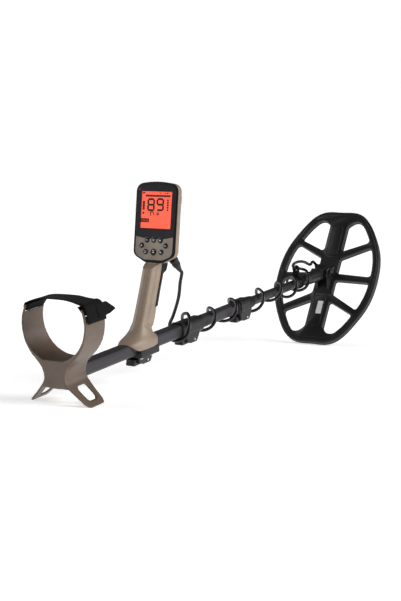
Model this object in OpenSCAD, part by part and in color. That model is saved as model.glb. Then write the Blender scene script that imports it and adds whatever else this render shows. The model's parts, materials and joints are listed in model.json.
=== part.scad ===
// Metal detector with a telescopic shaft, an upright control pod and an open-spoked coil.
// Millimetres. +X points along the shaft to the coil, +Y to the user's left and +Z up.
// The pieces are drawn in the shaft's frame, with X along the tubes' axis, and on_shaft()
// tilts them so that the armrest's feet and the coil's heel stand on Z = 0.

/* [Shaft] */
// Outer width of the upper tube across its flats
upper_tube_w = 22.4; // [20:0.1:26]
// Length of the upper tube
upper_tube_l = 383; // [360:1:420]
// Corner radius of the upper tube
upper_tube_r = 6; // [5:0.1:8]
// Wall of the upper and middle tubes
tube_wall = 1; // [0.8:0.1:1.6]
// Length of the middle tube
middle_tube_l = 418; // [400:1:460]
// Length of the middle tube that is inside the upper tube as stored
middle_inserted = 232; // [222:1:250]
// Length of the lower tube
lower_tube_l = 461; // [440:1:500]
// Length of the lower tube that is inside the middle tube as stored
lower_inserted = 223; // [213:1:240]
// Wall of the lower tube
lower_tube_wall = 1.2; // [1:0.1:2]

/* [Cam locks] */
// Wall of a lock's collar
collar_wall = 2; // [1.5:0.1:3]
// Length of the upper lock's collar behind the upper tube's front end
upper_collar_back = 45; // [40:1:60]
// Length of the upper lock's collar in front of the upper tube's front end
upper_collar_front = 26; // [20:1:40]
// Length of the lower lock's collar behind the middle tube's front end
lower_collar_back = 28; // [25:1:40]
// Length of the lower lock's straight collar in front of the middle tube's front end
lower_collar_front = 12; // [8:1:45]
// Length of the lower lock's tapered nose
lower_nose_l = 26; // [20:1:60]
// Radius of a lever's cam
cam_r = 6.2; // [5.5:0.1:8]
// Distance from a lever's pin to the middle of its cam
cam_offset = 1.3; // [0.5:0.1:2]
// Radius of a lock's cross pin
lock_pin_r = 2; // [1.5:0.1:2.5]
// Length of a lever from its pin to its tip
lever_l = 36; // [30:1:50]
// Width of a lever
lever_w = 15; // [10:0.5:18]
// Width of a lug across its two ears
lug_w = 25; // [22:0.5:28]

/* [Armrest] */
// Length of the armrest along the shaft
armrest_l = 48; // [40:1:70]
// Wall of the armrest
armrest_wall = 3; // [2.5:0.1:4]
// Outer radius of the bowl
bowl_r = 58; // [52:1:62]
// Height of the bowl's centre above the shaft's axis
bowl_z = 80; // [76:1:86]
// Height of the wing tips above the shaft's axis
wing_tip_z = 107; // [100:1:112]
// Depth of the feet below the shaft's axis
foot_drop = 40.5; // [34:0.5:46]
// Half of the distance between the feet
foot_y = 54; // [46:1:60]
// Width of the arm strap
strap_w = 38; // [30:1:40]
// Thickness of the arm strap
strap_t = 1.6; // [1.2:0.1:2]

/* [Handle] */
// Distance from the upper tube's rear end to the middle of the handle's base
handle_from_rear = 212; // [205:1:225]
// Half length of the handle's saddle base
base_a = 45; // [38:1:48]
// Half width of the handle's saddle base
base_b = 22; // [19:0.5:24]
// Half depth of the grip, front to back
grip_a = 20.5; // [19:0.5:25]
// Half width of the grip
grip_b = 14.4; // [14:0.1:19]
// Wall of the grip shells
grip_wall = 2.6; // [2:0.1:3.5]
// Depth of the clamp under the tube, below the tube's axis
clamp_drop = 14.4; // [14:0.1:17]

/* [Control pod] */
// Width of the pod
pod_w = 80; // [76:1:90]
// Height of the pod
pod_h = 134; // [130:1:146]
// Forward lean of the pod's face, in degrees
pod_tilt = 10.2; // [4:0.1:16]
// Thickness of the front bezel
bezel_t = 6; // [5:0.5:8]
// Depth of the rear housing
housing_t = 7; // [7:0.5:12]
// Thickness of the back cover
cover_t = 3; // [2.5:0.5:4]
// Depth of the battery bulge behind the back cover
bulge_t = 14.5; // [14:0.5:20]
// Width of the display panel
lcd_w = 60; // [54:1:62]
// Height of the display panel
lcd_h = 62; // [56:1:64]
// Radius of a small key
key_r = 3.9; // [3:0.1:4.4]
// Radius of the large middle key
big_key_r = 5; // [4:0.1:5.4]
// Travel of a key
key_travel = 0.8; // [0.4:0.1:1]
// Radius of the headphone jack's hole
jack_r = 1.8; // [1.7:0.05:2]

/* [Coil] */
// Half length of the coil
coil_a = 152.5; // [140:0.5:165]
// Half width of the coil
coil_b = 114; // [105:0.5:122]
// Thickness of the coil's upper shell
shell_t = 11; // [10:0.5:14]
// Thickness of the skid plate
skid_t = 3; // [2:0.5:4]
// Width of the rim
rim_w = 14.5; // [12:0.5:18]
// Half width of the spine
spine_b = 22; // [20:0.5:30]
// Pitch of the coil's plane above the shaft's axis, in degrees
coil_pitch = 54.6; // [40:0.1:70]

/* [Yoke and pivot] */
// Length of the yoke from the lower tube's end to the pivot
yoke_l = 126; // [110:1:140]
// Largest radius of the yoke
yoke_r = 13; // [12:0.1:14]
// Thickness of the yoke's tongue
tongue_t = 15; // [12:0.5:18]
// Radius of the tongue's end and of the ears' tops
eye_r = 12.5; // [10:0.5:13]
// Height of the pivot above the coil's face
pivot_h = 18; // [17:0.5:22]
// Radius of the pivot bolt
bolt_r = 4; // [3:0.1:5]
// Thickness of a friction washer
washer_t = 2.2; // [1.5:0.1:3]
// Thickness of an ear
ear_t = 6; // [4:0.5:8]

/* [Cable] */
// Diameter of the coil cable
cable_d = 5; // [4:0.1:5.4]

/* [Clearances] */
// Gap on each side between two sliding tubes
slide_gap = 0.2; // [0.1:0.05:0.3]
// Gap on each side between pieces that are fixed together
fit_gap = 0.05; // [0.02:0.01:0.1]
// Radial gap of a pin in the piece that turns on it
pin_gap = 0.08; // [0.03:0.01:0.1]
// Gap between a moving piece and its surround
run_gap = 0.3; // [0.2:0.05:0.4]

/* [Hidden] */
$fn = 48;
SHAFT_NODES = ["upper_tube", "tube_end_cap", "armrest", "armrest_screws", "arm_strap",
    "upper_cam_collar", "upper_cam_pin", "upper_cam_lever", "middle_tube", "middle_guide_bush",
    "lower_cam_collar", "lower_cam_pin", "lower_cam_lever", "lower_tube", "lower_guide_bush"];
HANDLE_NODES = ["grip_left", "grip_right", "grip_front_insert", "grip_screws", "handle_clamp",
    "clamp_screws", "handle_cam_pin", "handle_cam_lever"];
POD_NODES = ["front_bezel", "display_lens", "display_panel", "keypad_panel", "pod_gasket",
    "rear_housing", "back_cover", "circuit_board", "battery_cell", "speaker", "pod_screws",
    "power_button", "cable_socket", "cable_plug"];
KEY_NODES = ["key_1", "key_2", "key_3", "key_4", "key_5", "key_6", "key_7", "key_8"];
COIL_NODES = ["yoke", "friction_washers", "pivot_bolt", "pivot_nut", "coil_upper_shell",
    "coil_skid_plate", "transmit_winding", "receive_winding", "coil_label", "strain_relief"];
CABLE_NODES = ["pod_cable_run", "upper_cable_run", "middle_cable_run", "lower_cable_run",
    "cable_tie"];

// Tubes
upper_inner_w = upper_tube_w - 2 * tube_wall;
middle_tube_w = upper_inner_w - 2 * slide_gap;
middle_tube_r = upper_tube_r - tube_wall - slide_gap;
middle_inner_w = middle_tube_w - 2 * tube_wall;
middle_inner_r = middle_tube_r - tube_wall;
lower_tube_d = middle_inner_w - 2 * slide_gap;
lower_inner_d = lower_tube_d - 2 * lower_tube_wall;
web_t = armrest_wall;
web_x = -6;
cap_flange = 2;
cap_plug = 14;
tube_rear_x = web_x + web_t + cap_flange;
upper_end_x = tube_rear_x + upper_tube_l;
middle_rear_x = upper_end_x - middle_inserted;
middle_end_x = middle_rear_x + middle_tube_l;
lower_rear_x = middle_end_x - lower_inserted;
lower_end_x = lower_rear_x + lower_tube_l;
guide_flange = 10;
guide_plug = 10;

// Cam locks
lug_gap = 0.7;
upper_collar_w = upper_tube_w + 2 * collar_wall;
lower_collar_w = upper_collar_w;
cam_top = cam_offset + cam_r;
pin_drop = upper_collar_w / 2 + cam_top + lug_gap;
lug_top = 6;
upper_pin_x = upper_end_x - 5;
lower_pin_x = middle_end_x + 2;
lever_arm = [[0, 6], [0, -4.9], [3 - lever_l, -4.9], [-lever_l, -3.5], [2 - lever_l, 5.5], [-14, 5.5]];
lug_side = [[9, -2], [6, -4.6], [-14, -4.6], [-25, -1.5]];

// Armrest
saddle_w = upper_tube_w + 2 * armrest_wall + 1;
leg = [[54.9, 66], [50.6, 53], [42.6, 40], [31, 28], [21.5, 18], [17.2, 4], [19.5, -6], [26, -14],
    [38, -26], [foot_y + 2, -foot_drop - 2]];
foot_r = 8;
foot_x = 3;

// Handle
handle_x = tube_rear_x + handle_from_rear;
GRIP = [[-1, 7, base_a - grip_a, base_b - grip_b], [10, 7, base_a - grip_a, base_b - grip_b],
    [15, 8, 20.5, 6.4], [20, 10.5, 13, 4], [25, 15, 7.5, 2.4], [31, 20.8, 3, 1.2], [40, 26.4, 1, 0.6],
    [60, 35.3, 0.3, 0.3], [82, 44.8, 0, 0], [104, 54.4, 0, 0], [118, 60, 0, 0], [136, 66.5, -1, -0.6]];
insert_from = 7;
insert_x = 11;
insert_proud = 0.5;
clamp_x0 = handle_x - 13;
clamp_x1 = handle_x + 41;
handle_pin_x = handle_x + 16;
handle_pin_drop = clamp_drop + cam_top + lug_gap;
grip_screws_at = [[62.3, 115.7], [40.5, 72], [27, 42]];
clamp_w = 38;
screw_r = 1.5;

// Control pod
pod_x = handle_x + 61.5;
pod_z = 128;
inset = 2.2;
lens_t = 1.5;
lens_edge = 4.5;
lens_bottom = 41.3;
lens_arc_r = 150;
gasket_t = 1.4;
keypad_t = 1.6;
keypad_proud = 0.4;
lcd_z = 86;
lcd_t = 2.8;
wall = 4;
board_t = 1.6;
board_x = bezel_t + 1.6;
cover_x = bezel_t + housing_t;
cover_back = cover_x + cover_t;
bulge_back = cover_back + bulge_t;
bulge_w = 30;
bulge_z0 = 18;
bulge_z1 = 104;
cell_r = 9;
cell_l = 65;
cell_z = 21;
jack_depth = 14;
speaker_r = 12.5;
pod_screws_at = [[32.4, 20.8], [-32.4, 20.8], [30, 120.5], [-30, 120.5]];
keys_at = [[13.6, 36.4], [0.7, 36.8], [-12.3, 36.6], [23.4, 27.6], [-22.4, 28.2], [15.3, 17.4],
    [0.4, 17.4], [-14.6, 17.8]];
key_proud = 1.4;
key_stem = 6.7;
button_z = 104;
plug_start = [15, -27, 10];
plug_lean = 132;
plug_yaw = -7;
boot_end = 30;
socket_from = 2.8;
socket_to = 8;
socket_r = 6;
socket_bore = 4.5;

// Coil
pivot_x = lower_end_x + yoke_l;
pivot_u = -2.5;
coil_t = shell_t + skid_t;
ear_in = tongue_t / 2 + washer_t + fit_gap;
ear_out = ear_in + ear_t;
relief_at = [18, 23];
relief_h = 14;
winding_t = 3;
winding_w = 4;
// Each window of the coil: the angles where it meets the rim, the ends of its side along the
// spine, how far that side is from the spine's edge, and the radii of its corners
WINDOWS = [[22, 54, 58, 121, -2, [15, 7, 5, 11]], [59, 88.7, 42, 6.8, 0, [8, 6, 6, 5]],
    [94, 121.3, -8.5, -40.5, 0, [8, 5, 8, 5]], [127, 158.3, -57, -119, -2, [7, 18, 11, 4]]];

// Resting place: the rounded rear corners of the feet and the heel of the skid plate touch the
// floor
coil_l = [cos(coil_pitch), sin(coil_pitch)];
coil_n = [-sin(coil_pitch), cos(coil_pitch)];
heel = [pivot_x, 0] + (-coil_a - pivot_u) * coil_l - (pivot_h + coil_t) * coil_n;
toe = [pivot_x, 0] + (coil_a - pivot_u) * coil_l - (pivot_h + coil_t) * coil_n;
foot = [foot_x + foot_r, foot_r - foot_drop];
rest_tilt = asin(-foot_r / norm(heel - foot)) - atan2(heel[1] - foot[1], heel[0] - foot[0]);
lift = foot_r - foot[0] * sin(rest_tilt) - foot[1] * cos(rest_tilt);
rear_x = -wing_tip_z * sin(rest_tilt);
front_x = toe[0] * cos(rest_tilt) - toe[1] * sin(rest_tilt);
mid_x = (rear_x + front_x) / 2;

// Cable: the points lie along the cable's middle. A turn round the shaft is [X of its first top,
// height there, X and height of its bottom, X and height of its next top, half width on the far
// side, half width on the near side]
cable_gap = 0.4;
collar_x = upper_end_x - upper_collar_back;
turn_x = [upper_end_x - 7, middle_end_x - 34, lower_end_x - 80, lower_end_x - 21];
nose_x = middle_end_x + 73;
pod_run = concat([for (p = [[46.5, -22, 88], [52.5, -15, 65], [58.5, -5, 44]]) p + [pod_x, 0, 0]],
    [for (p = [[1, 7, 24], [6, 16, 12], [8, 18.8, 2], [3, 17.5, -9.5], [-2.5, 6, -16.5],
        [-2, -8, -15.5], [3, -17, -9], [10, -19.5, 3], [21, -14.5, 16]]) p + [collar_x, 0, 0]]);
upper_turns = [[turn_x[0], 22.5, lerp(turn_x[0], turn_x[1], 0.3), -17,
    lerp(turn_x[0], turn_x[1], 0.5), 17, 24, 18.5],
    [lerp(turn_x[0], turn_x[1], 0.5), 17, lerp(turn_x[0], turn_x[1], 0.8), -16.5, turn_x[1], 18,
    17.5, 17.5]];
middle_turns = [[turn_x[1], 18, middle_end_x + 36, -18.5, nose_x, 17.5, 23.2, 18.5],
    [nose_x, 17.5, lerp(nose_x, turn_x[2], 0.5), -13, turn_x[2], 16.5, 16, 15.5]];
lower_turns = [[turn_x[2], 16.5, lower_end_x - 46, -20, turn_x[3], 17, 16, 16],
    [turn_x[3], 17, lower_end_x + 6, -16.5, lower_end_x + 36, 20, 17.5, 17.5]];
coil_run = [for (p = [[28, -13, 13], [35, -4, 20.5], [32, 5, 24], [21, 7.5, 26.5], [7, 5, 29],
    [-4, 4, 33], [-11, 2.5, 38], [-7, 0.5, 42], [6, -1, 43], [22, -2, 41], [39, -1, 36.5],
    [57, 1.5, 30.5], [76, 6.5, 25.5], [96, 13, 23], [115, 19.5, 23.5], [129, 22.6, 21.8]])
    p + [lower_end_x, 0, 0]];
tie_x = lower_end_x + 7;
tie_w = 9;
yoke_collar_r = 10.6;

black = "#1c1a1c";
tube_grey = "#34323a";
brown = "#76645a";
tan_grey = "#8f8273";
steel = "#b9bcc0";

function unit(v) = v / norm(v);
function flip(v) = [-v[0], v[1]];
function mirrored(p) = [for (i = [len(p) - 1:-1:0]) flip(p[i])];
function lerp(a, b, t) = a + (b - a) * t;

// A Catmull-Rom curve through the points, with n steps between two of them
function curve(p, n) = concat([for (i = [0:len(p) - 2], k = [0:n - 1])
    let (a = p[max(i - 1, 0)], b = p[i], c = p[i + 1], d = p[min(i + 2, len(p) - 1)], t = k / n)
    0.5 * (2 * b + (c - a) * t + (2 * a - 5 * b + 4 * c - d) * t * t
        + (3 * b - a - 3 * c + d) * t * t * t)], [p[len(p) - 1]]);

// The sideways step that gives a stroke along p its width at point i
function mitre(p, i) = let (a = i == 0 ? unit(p[1] - p[0]) : unit(p[i] - p[i - 1]),
    b = i == len(p) - 1 ? a : unit(p[i + 1] - p[i]), m = unit(a + b)) [-m[1], m[0]] / (m * a);
function stroke(p, w) = concat([for (i = [0:len(p) - 1]) p[i] + mitre(p, i) * w / 2],
    [for (i = [len(p) - 1:-1:0]) p[i] - mitre(p, i) * w / 2]);

// A closed outline with its corners rounded: r holds one radius for each corner
function rounded_corner(a, c, b, r, n) = r == 0 ? [c] : let (u = unit(a - c), v = unit(b - c),
    half = acos(u * v) / 2, o = c + unit(u + v) * r / sin(half), t = r / tan(half),
    p = c + u * t - o, q = c + v * t - o, turn = acos(p * q / (r * r)))
    [for (k = [0:n]) o + (sin((1 - k / n) * turn) * p + sin(k / n * turn) * q) / sin(turn)];
function rounded(p, r, n = 6) = [for (i = [0:len(p) - 1])
    each rounded_corner(p[(i + len(p) - 1) % len(p)], p[i], p[(i + 1) % len(p)], r[i], n)];

module on_shaft() {
    translate([-mid_x, 0, lift]) rotate([0, -rest_tilt, 0]) children();
}

module on_pod() {
    translate([pod_x, 0, pod_z]) rotate([0, pod_tilt, 0]) children();
}

module on_coil() {
    translate([pivot_x, 0, 0]) rotate([0, -coil_pitch, 0]) translate([-pivot_u, 0, -pivot_h]) children();
}

// Extrudes a (y, z) outline along X from x0 to x1
module along_x(x0, x1) {
    translate([x0, 0, 0]) rotate([90, 0, 90]) linear_extrude(x1 - x0) children();
}

// Extrudes an (x, z) outline along Y from y0 to y1
module along_y(y0, y1) {
    translate([0, y1, 0]) rotate([90, 0, 0]) linear_extrude(y1 - y0) children();
}

module rod_x(r, x0, x1) {
    translate([x0, 0, 0]) rotate([0, 90, 0]) cylinder(r = r, h = x1 - x0);
}

module rod_y(r, y0, y1) {
    translate([0, y0, 0]) rotate([-90, 0, 0]) cylinder(r = r, h = y1 - y0);
}

module box(x, y, z) {
    translate([x[0], y[0], z[0]]) cube([x[1] - x[0], y[1] - y[0], z[1] - z[0]]);
}

module rounded_square(w, r) {
    square([w, w - 2 * r], center = true);
    square([w - 2 * r, w], center = true);
    for (x = [-1, 1], y = [-1, 1]) translate([x, y] * (w / 2 - r)) circle(r);
}

module square_tube(w, r, t, x0, x1) {
    along_x(x0, x1) difference() {
        rounded_square(w, r);
        rounded_square(w - 2 * t, r - t);
    }
}

module square_bar(w, r, x0, x1) {
    along_x(x0, x1) rounded_square(w, r);
}

// Shaft

module upper_tube() {
    color(tube_grey) on_shaft() difference() {
        square_tube(upper_tube_w, upper_tube_r, tube_wall, tube_rear_x, upper_end_x);
        armrest_screw_holes(2);
    }
}

module tube_end_cap() {
    color(black) on_shaft() difference() {
        union() {
            square_bar(upper_tube_w, upper_tube_r, tube_rear_x - cap_flange, tube_rear_x);
            square_bar(upper_inner_w - 2 * fit_gap, upper_tube_r - tube_wall, tube_rear_x,
                tube_rear_x + cap_plug);
        }
        armrest_screw_holes(2);
    }
}

module armrest_screw_holes(r) {
    for (x = armrest_screws_at) translate([x, 0, -saddle_w / 2 - 1])
        cylinder(r = r, h = saddle_w / 2 - 5);
}

armrest_screws_at = [tube_rear_x + 8, tube_rear_x + 34];

module armrest_screws() {
    color(steel) on_shaft() for (x = armrest_screws_at) translate([x, 0, -saddle_w / 2]) {
        cylinder(r = 2 - fit_gap, h = saddle_w / 2 - 7);
        translate([0, 0, -2.4]) cylinder(r = 3.8, h = 2.4);
    }
}

function bowl_arc(r, from, to, n) = [for (k = [0:n]) let (a = lerp(from, to, k / n))
    [r * cos(a), bowl_z + r * sin(a)]];

module armrest_section() {
    tip = asin((wing_tip_z - bowl_z) / bowl_r);
    mid_r = bowl_r - armrest_wall / 2;
    polygon(stroke(bowl_arc(mid_r, tip, -180 - tip, 40), armrest_wall));
    legs = curve(leg, 4);
    polygon(stroke(legs, armrest_wall));
    polygon(stroke(mirrored(legs), armrest_wall));
}

module saddle_section() {
    polygon(concat(curve([for (i = [3:7]) leg[i]], 4), mirrored(curve([for (i = [3:7]) leg[i]], 4))));
}

module armrest() {
    slot_z = wing_tip_z - 8.5;
    side = rounded([[0, wing_tip_z + 1], [armrest_l, wing_tip_z + 1], [armrest_l + 1, 30],
        [armrest_l, -8], [armrest_l - 4, -foot_drop], [foot_x, -foot_drop], [web_x, -10], [web_x, 20]],
        [6, 6, 60, 30, foot_r, foot_r, 20, 60]);
    foot_slot = rounded([[11, -13], [34, -13], [36, -33], [15, -33]], [5, 5, 5, 5]);
    color(brown) on_shaft() difference() {
        intersection() {
            union() {
                along_x(web_x, armrest_l) armrest_section();
                along_x(web_x, web_x + web_t) saddle_section();
                square_bar(saddle_w, upper_tube_r + armrest_wall, web_x, armrest_l - 5);
                for (s = [-1, 1]) box([web_x, armrest_l - 5], [s * 15 - 2.6, s * 15 + 2.6], [-5, 11]);
            }
            along_y(-bowl_r - 5, bowl_r + 5) polygon(side);
        }
        square_bar(upper_tube_w + 2 * fit_gap, upper_tube_r, web_x + web_t, armrest_l + 1);
        for (s = [-1, 1]) {
            box([(armrest_l - strap_w) / 2 - 1.5, (armrest_l + strap_w) / 2 + 1.5],
                s > 0 ? [45, 65] : [-65, -45], [slot_z - 2.6, slot_z + 2.6]);
            along_y(s > 0 ? 20 : -60, s > 0 ? 60 : -20) polygon(foot_slot);
        }
        armrest_screw_holes(2);
    }
}

module arm_strap() {
    slot_z = wing_tip_z - 8.5;
    near = bowl_r + run_gap + strap_t / 2;
    far = bowl_r - armrest_wall - run_gap - strap_t / 2;
    at = asin((slot_z - bowl_z) / bowl_r);
    tip = asin((wing_tip_z - bowl_z) / bowl_r);
    wrap = concat(bowl_arc(far, tip - 1, at, 2), bowl_arc(near, at, tip, 2));
    over = [for (p = [[52, 1.5], [47, 3.8], [33, 8.3], [18, 9.6], [0, 10], [-18, 9.4], [-32, 6.8],
        [-44, 4], [-52, 1.5]]) [p[0], wing_tip_z + p[1]]];
    path = concat(wrap, over, mirrored(wrap));
    flap = bowl_arc(near + strap_t, 180 - at - 3, 175, 3);
    x0 = (armrest_l - strap_w) / 2;
    color(black) on_shaft() {
        along_x(x0, x0 + strap_w) {
            polygon(stroke(path, strap_t));
            polygon(stroke(flap, strap_t));
        }
        along_y(-near - 1.5 * strap_t, -near - 0.5 * strap_t) translate([x0 + strap_w - 6, wing_tip_z - 16])
            polygon([[0, 0], [20, 2], [36, 5], [18, 14], [0, 17]]);
    }
}

// Cam locks

module lug(pin_x, drop, top) {
    translate([pin_x, 0, -drop]) along_y(-lug_w / 2, lug_w / 2)
        polygon(concat([[-27, drop - top], [17, drop - top], [17, cam_top + 1]], lug_side));
}

// What a lug gives up for its lever and its pin
module lug_cut(pin_x, drop) {
    half = lever_w / 2 + run_gap;
    translate([pin_x, 0, -drop]) {
        translate([0, 0, cam_offset]) rod_y(cam_r + lug_gap - 0.1, -half, half);
        box([-30, 0], [-half, half], [-20, cam_top + lug_gap - 0.1]);
        box([-1, cam_r + lug_gap - 0.1], [-half, half], [-20, cam_offset]);
        rod_y(lock_pin_r + fit_gap, -lug_w, lug_w);
    }
}

module cross_pin(pin_x, drop) {
    color(steel) on_shaft() translate([pin_x, 0, -drop])
        rod_y(lock_pin_r, -lug_w / 2 - 0.4, lug_w / 2 + 0.4);
}

module lever(pin_x, drop) {
    color(black) on_shaft() translate([pin_x, 0, -drop]) difference() {
        union() {
            translate([0, 0, cam_offset]) rod_y(cam_r, -lever_w / 2, lever_w / 2);
            along_y(-lever_w / 2, lever_w / 2) polygon(lever_arm);
        }
        rod_y(lock_pin_r + pin_gap, -lever_w, lever_w);
    }
}

module upper_cam_collar() {
    x0 = upper_end_x - upper_collar_back;
    x1 = upper_end_x + upper_collar_front;
    color(black) on_shaft() difference() {
        union() {
            square_bar(upper_collar_w, upper_tube_r + collar_wall, x0, x1);
            lug(upper_pin_x, pin_drop, lug_top);
        }
        square_bar(upper_tube_w + 2 * fit_gap, upper_tube_r, x0 - 1, upper_end_x);
        square_bar(middle_tube_w + 2 * slide_gap, middle_tube_r, upper_end_x - 1, x1 + 1);
        box([upper_end_x + 3, x1 + 1], [-0.6, 0.6], [-40, 0]);
        lug_cut(upper_pin_x, pin_drop);
    }
}

module lower_cam_collar() {
    x0 = middle_end_x - lower_collar_back;
    x1 = middle_end_x + lower_collar_front;
    step_x = middle_end_x - 22;
    nose_r = lower_tube_d / 2 + collar_wall;
    color(black) on_shaft() difference() {
        union() {
            square_bar(middle_tube_w + 2 * collar_wall, middle_tube_r + collar_wall, x0, step_x);
            square_bar(lower_collar_w, upper_tube_r + collar_wall, step_x, x1);
            translate([x1, 0, 0]) rotate([0, 90, 0])
                cylinder(r1 = lower_collar_w / 2, r2 = nose_r, h = lower_nose_l);
            lug(lower_pin_x, pin_drop, lug_top);
        }
        square_bar(middle_tube_w + 2 * fit_gap, middle_tube_r, x0 - 1, middle_end_x);
        rod_x(lower_tube_d / 2 + slide_gap, middle_end_x - 1, x1 + lower_nose_l + 1);
        box([middle_end_x + 3, x1], [-0.6, 0.6], [-40, 0]);
        lug_cut(lower_pin_x, pin_drop);
    }
}

module upper_cam_pin() { cross_pin(upper_pin_x, pin_drop); }
module lower_cam_pin() { cross_pin(lower_pin_x, pin_drop); }
module handle_cam_pin() { cross_pin(handle_pin_x, handle_pin_drop); }
module upper_cam_lever() { lever(upper_pin_x, pin_drop); }
module lower_cam_lever() { lever(lower_pin_x, pin_drop); }
module handle_cam_lever() { lever(handle_pin_x, handle_pin_drop); }

module middle_tube() {
    color(tube_grey) on_shaft()
        square_tube(middle_tube_w, middle_tube_r, tube_wall, middle_rear_x, middle_end_x);
}

module middle_guide_bush() {
    color(black) on_shaft() {
        square_bar(upper_inner_w - 2 * fit_gap, upper_tube_r - tube_wall, middle_rear_x - guide_flange,
            middle_rear_x);
        square_bar(middle_inner_w - 2 * fit_gap, middle_inner_r, middle_rear_x,
            middle_rear_x + guide_plug);
    }
}

module lower_tube() {
    color(tube_grey) on_shaft() difference() {
        rod_x(lower_tube_d / 2, lower_rear_x, lower_end_x);
        rod_x(lower_inner_d / 2, lower_rear_x - 1, lower_end_x + 1);
    }
}

module lower_guide_bush() {
    color(black) on_shaft() {
        square_bar(middle_inner_w - 2 * fit_gap, middle_inner_r, lower_rear_x - guide_flange,
            lower_rear_x);
        rod_x(lower_inner_d / 2 - fit_gap, lower_rear_x, lower_rear_x + guide_plug);
    }
}

// Handle

GRIP_SIDES = 36;
function oval(a, b, k, n) = let (t = 360 * k / n, c = cos(t), s = sin(t))
    [a * sign(c) * pow(abs(c), 0.85), b * sign(s) * pow(abs(s), 0.85)];

// The grip as a loft: grow moves its skin outwards, z0 and z1 are the heights where it stops
module grip_loft(grow, z0, z1) {
    rows = [for (g = GRIP) if (g[0] > z0 && g[0] < z1) g];
    all = concat([grip_row(z0)], rows, [grip_row(z1)]);
    points = [for (g = all, k = [0:GRIP_SIDES - 1])
        let (p = oval(grip_a + g[2] + grow, grip_b + g[3] + grow, k, GRIP_SIDES))
        [handle_x + g[1] + p[0], p[1], g[0]]];
    n = GRIP_SIDES;
    m = len(all);
    polyhedron(points, concat([[for (k = [0:n - 1]) k]], [[for (k = [n - 1:-1:0]) (m - 1) * n + k]],
        [for (i = [0:m - 2], k = [0:n - 1]) let (a = i * n + k, b = i * n + (k + 1) % n)
            each [[a, a + n, b + n], [a, b + n, b]]]));
}

// The grip's row at height z, between the rows of GRIP
function grip_row(z) = let (i = max([for (j = [0:len(GRIP) - 2]) if (GRIP[j][0] <= z) j]))
    lerp(GRIP[i], GRIP[i + 1], (z - GRIP[i][0]) / (GRIP[i + 1][0] - GRIP[i][0]));

// The front strip of the grip, which is rubber
module insert_region(gap) {
    rows = [for (i = [insert_from:len(GRIP) - 1]) GRIP[i]];
    along_y(-30, 30) polygon(concat([for (g = rows) [handle_x + g[1] + insert_x - gap, g[0]]],
        [[handle_x + 120, 136], [handle_x + 120, rows[0][0]]]));
}

module grip_cut() {
    square_bar(upper_tube_w + 2 * slide_gap, upper_tube_r, handle_x - 60, handle_x + 60);
    along_y(-30, 30) polygon([[handle_x + 10, 112], [handle_x + 40, 120.5], [pod_x, pod_z],
        [pod_x + 100, pod_z - 100 * tan(pod_tilt)], [pod_x + 100, 200], [handle_x + 10, 200]]);
    for (p = clamp_screws_at) translate([p[0], p[1], -2]) cylinder(r = screw_r + fit_gap, h = 8);
}

module stem(gap) {
    on_pod() box([-3 - gap, 9 + gap], [-8 - gap, 8 + gap], [-20 - gap, gap > 0 ? 1 : 0]);
}

module grip_half(s) {
    color(tan_grey) on_shaft() difference() {
        union() {
            difference() {
                grip_loft(0, -1, 136);
                grip_loft(-grip_wall, 16, 110);
                insert_region(0);
            }
            intersection() {
                for (p = grip_screws_at) translate([handle_x + p[0], 0, p[1]]) rod_y(4, -14, 14);
                grip_loft(-1, 0, 130);
            }
        }
        grip_cut();
        stem(fit_gap);
        box([handle_x - 60, handle_x + 110], s > 0 ? [-30, 0] : [0, 30], [-5, 140]);
        grip_screw_holes();
    }
}

module grip_screw_holes() {
    for (p = grip_screws_at) translate([handle_x + p[0], 0, p[1]]) {
        rod_y(screw_r + fit_gap, -10, 13);
        rod_y(screw_r * 2, 12.2, 30);
    }
}

module grip_left() { grip_half(1); }
module grip_right() { grip_half(-1); }

module grip_front_insert() {
    color(black) on_shaft() difference() {
        intersection() {
            union() {
                grip_loft(insert_proud, 0, 136);
                translate([handle_x + 79, 0, 117]) rod_y(8, -9, 9);
            }
            insert_region(0);
        }
        grip_loft(-grip_wall, 16, 110);
        grip_cut();
    }
}

module grip_screws() {
    color(steel) on_shaft() for (p = grip_screws_at) translate([handle_x + p[0], 0, p[1]]) {
        rod_y(screw_r, -9.5, 12.2);
        rod_y(screw_r * 1.8, 12.2, 13.8);
    }
}

clamp_screws_at = [for (x = [clamp_x0 + 5, clamp_x1 - 20], y = [15.5, -15.5]) [x, y]];

module handle_clamp() {
    color(black) on_shaft() difference() {
        union() {
            box([clamp_x0, clamp_x1], [-clamp_w / 2, clamp_w / 2], [-clamp_drop, -1]);
            lug(handle_pin_x, handle_pin_drop, clamp_drop - 1);
        }
        square_bar(upper_tube_w + 2 * slide_gap, upper_tube_r, clamp_x0 - 1, clamp_x1 + 1);
        lug_cut(handle_pin_x, handle_pin_drop);
        for (p = clamp_screws_at) translate([p[0], p[1], -20]) cylinder(r = screw_r + fit_gap, h = 30);
    }
}

module clamp_screws() {
    color(steel) on_shaft() for (p = clamp_screws_at) translate([p[0], p[1], -clamp_drop]) {
        cylinder(r = screw_r, h = clamp_drop + 5);
        translate([0, 0, -1.8]) cylinder(r = screw_r * 1.8, h = 1.8);
    }
}

// Control pod, in its own frame: x runs from the face to the back, y sideways and z up the face

function pod_outline(d) = let (w = pod_w / 2 - d)
    rounded([[-w, 12], [-w, pod_h - 6 - d], [0, pod_h - d], [w, pod_h - 6 - d], [w, 12], [17, d],
        [-17, d]],
        [12, 14 - d, 150, 14 - d, 12, 12, 12]);

module pod_plate(d, x0, x1) {
    along_x(x0, x1) polygon(pod_outline(d));
}

// The glossy window over the display, whose lower edge is an arc that hangs over the keys
module lens_outline(d) {
    intersection() {
        polygon(pod_outline(lens_edge + d));
        translate([0, lens_bottom + lens_arc_r]) circle(lens_arc_r - d, $fn = 200);
    }
}

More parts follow.
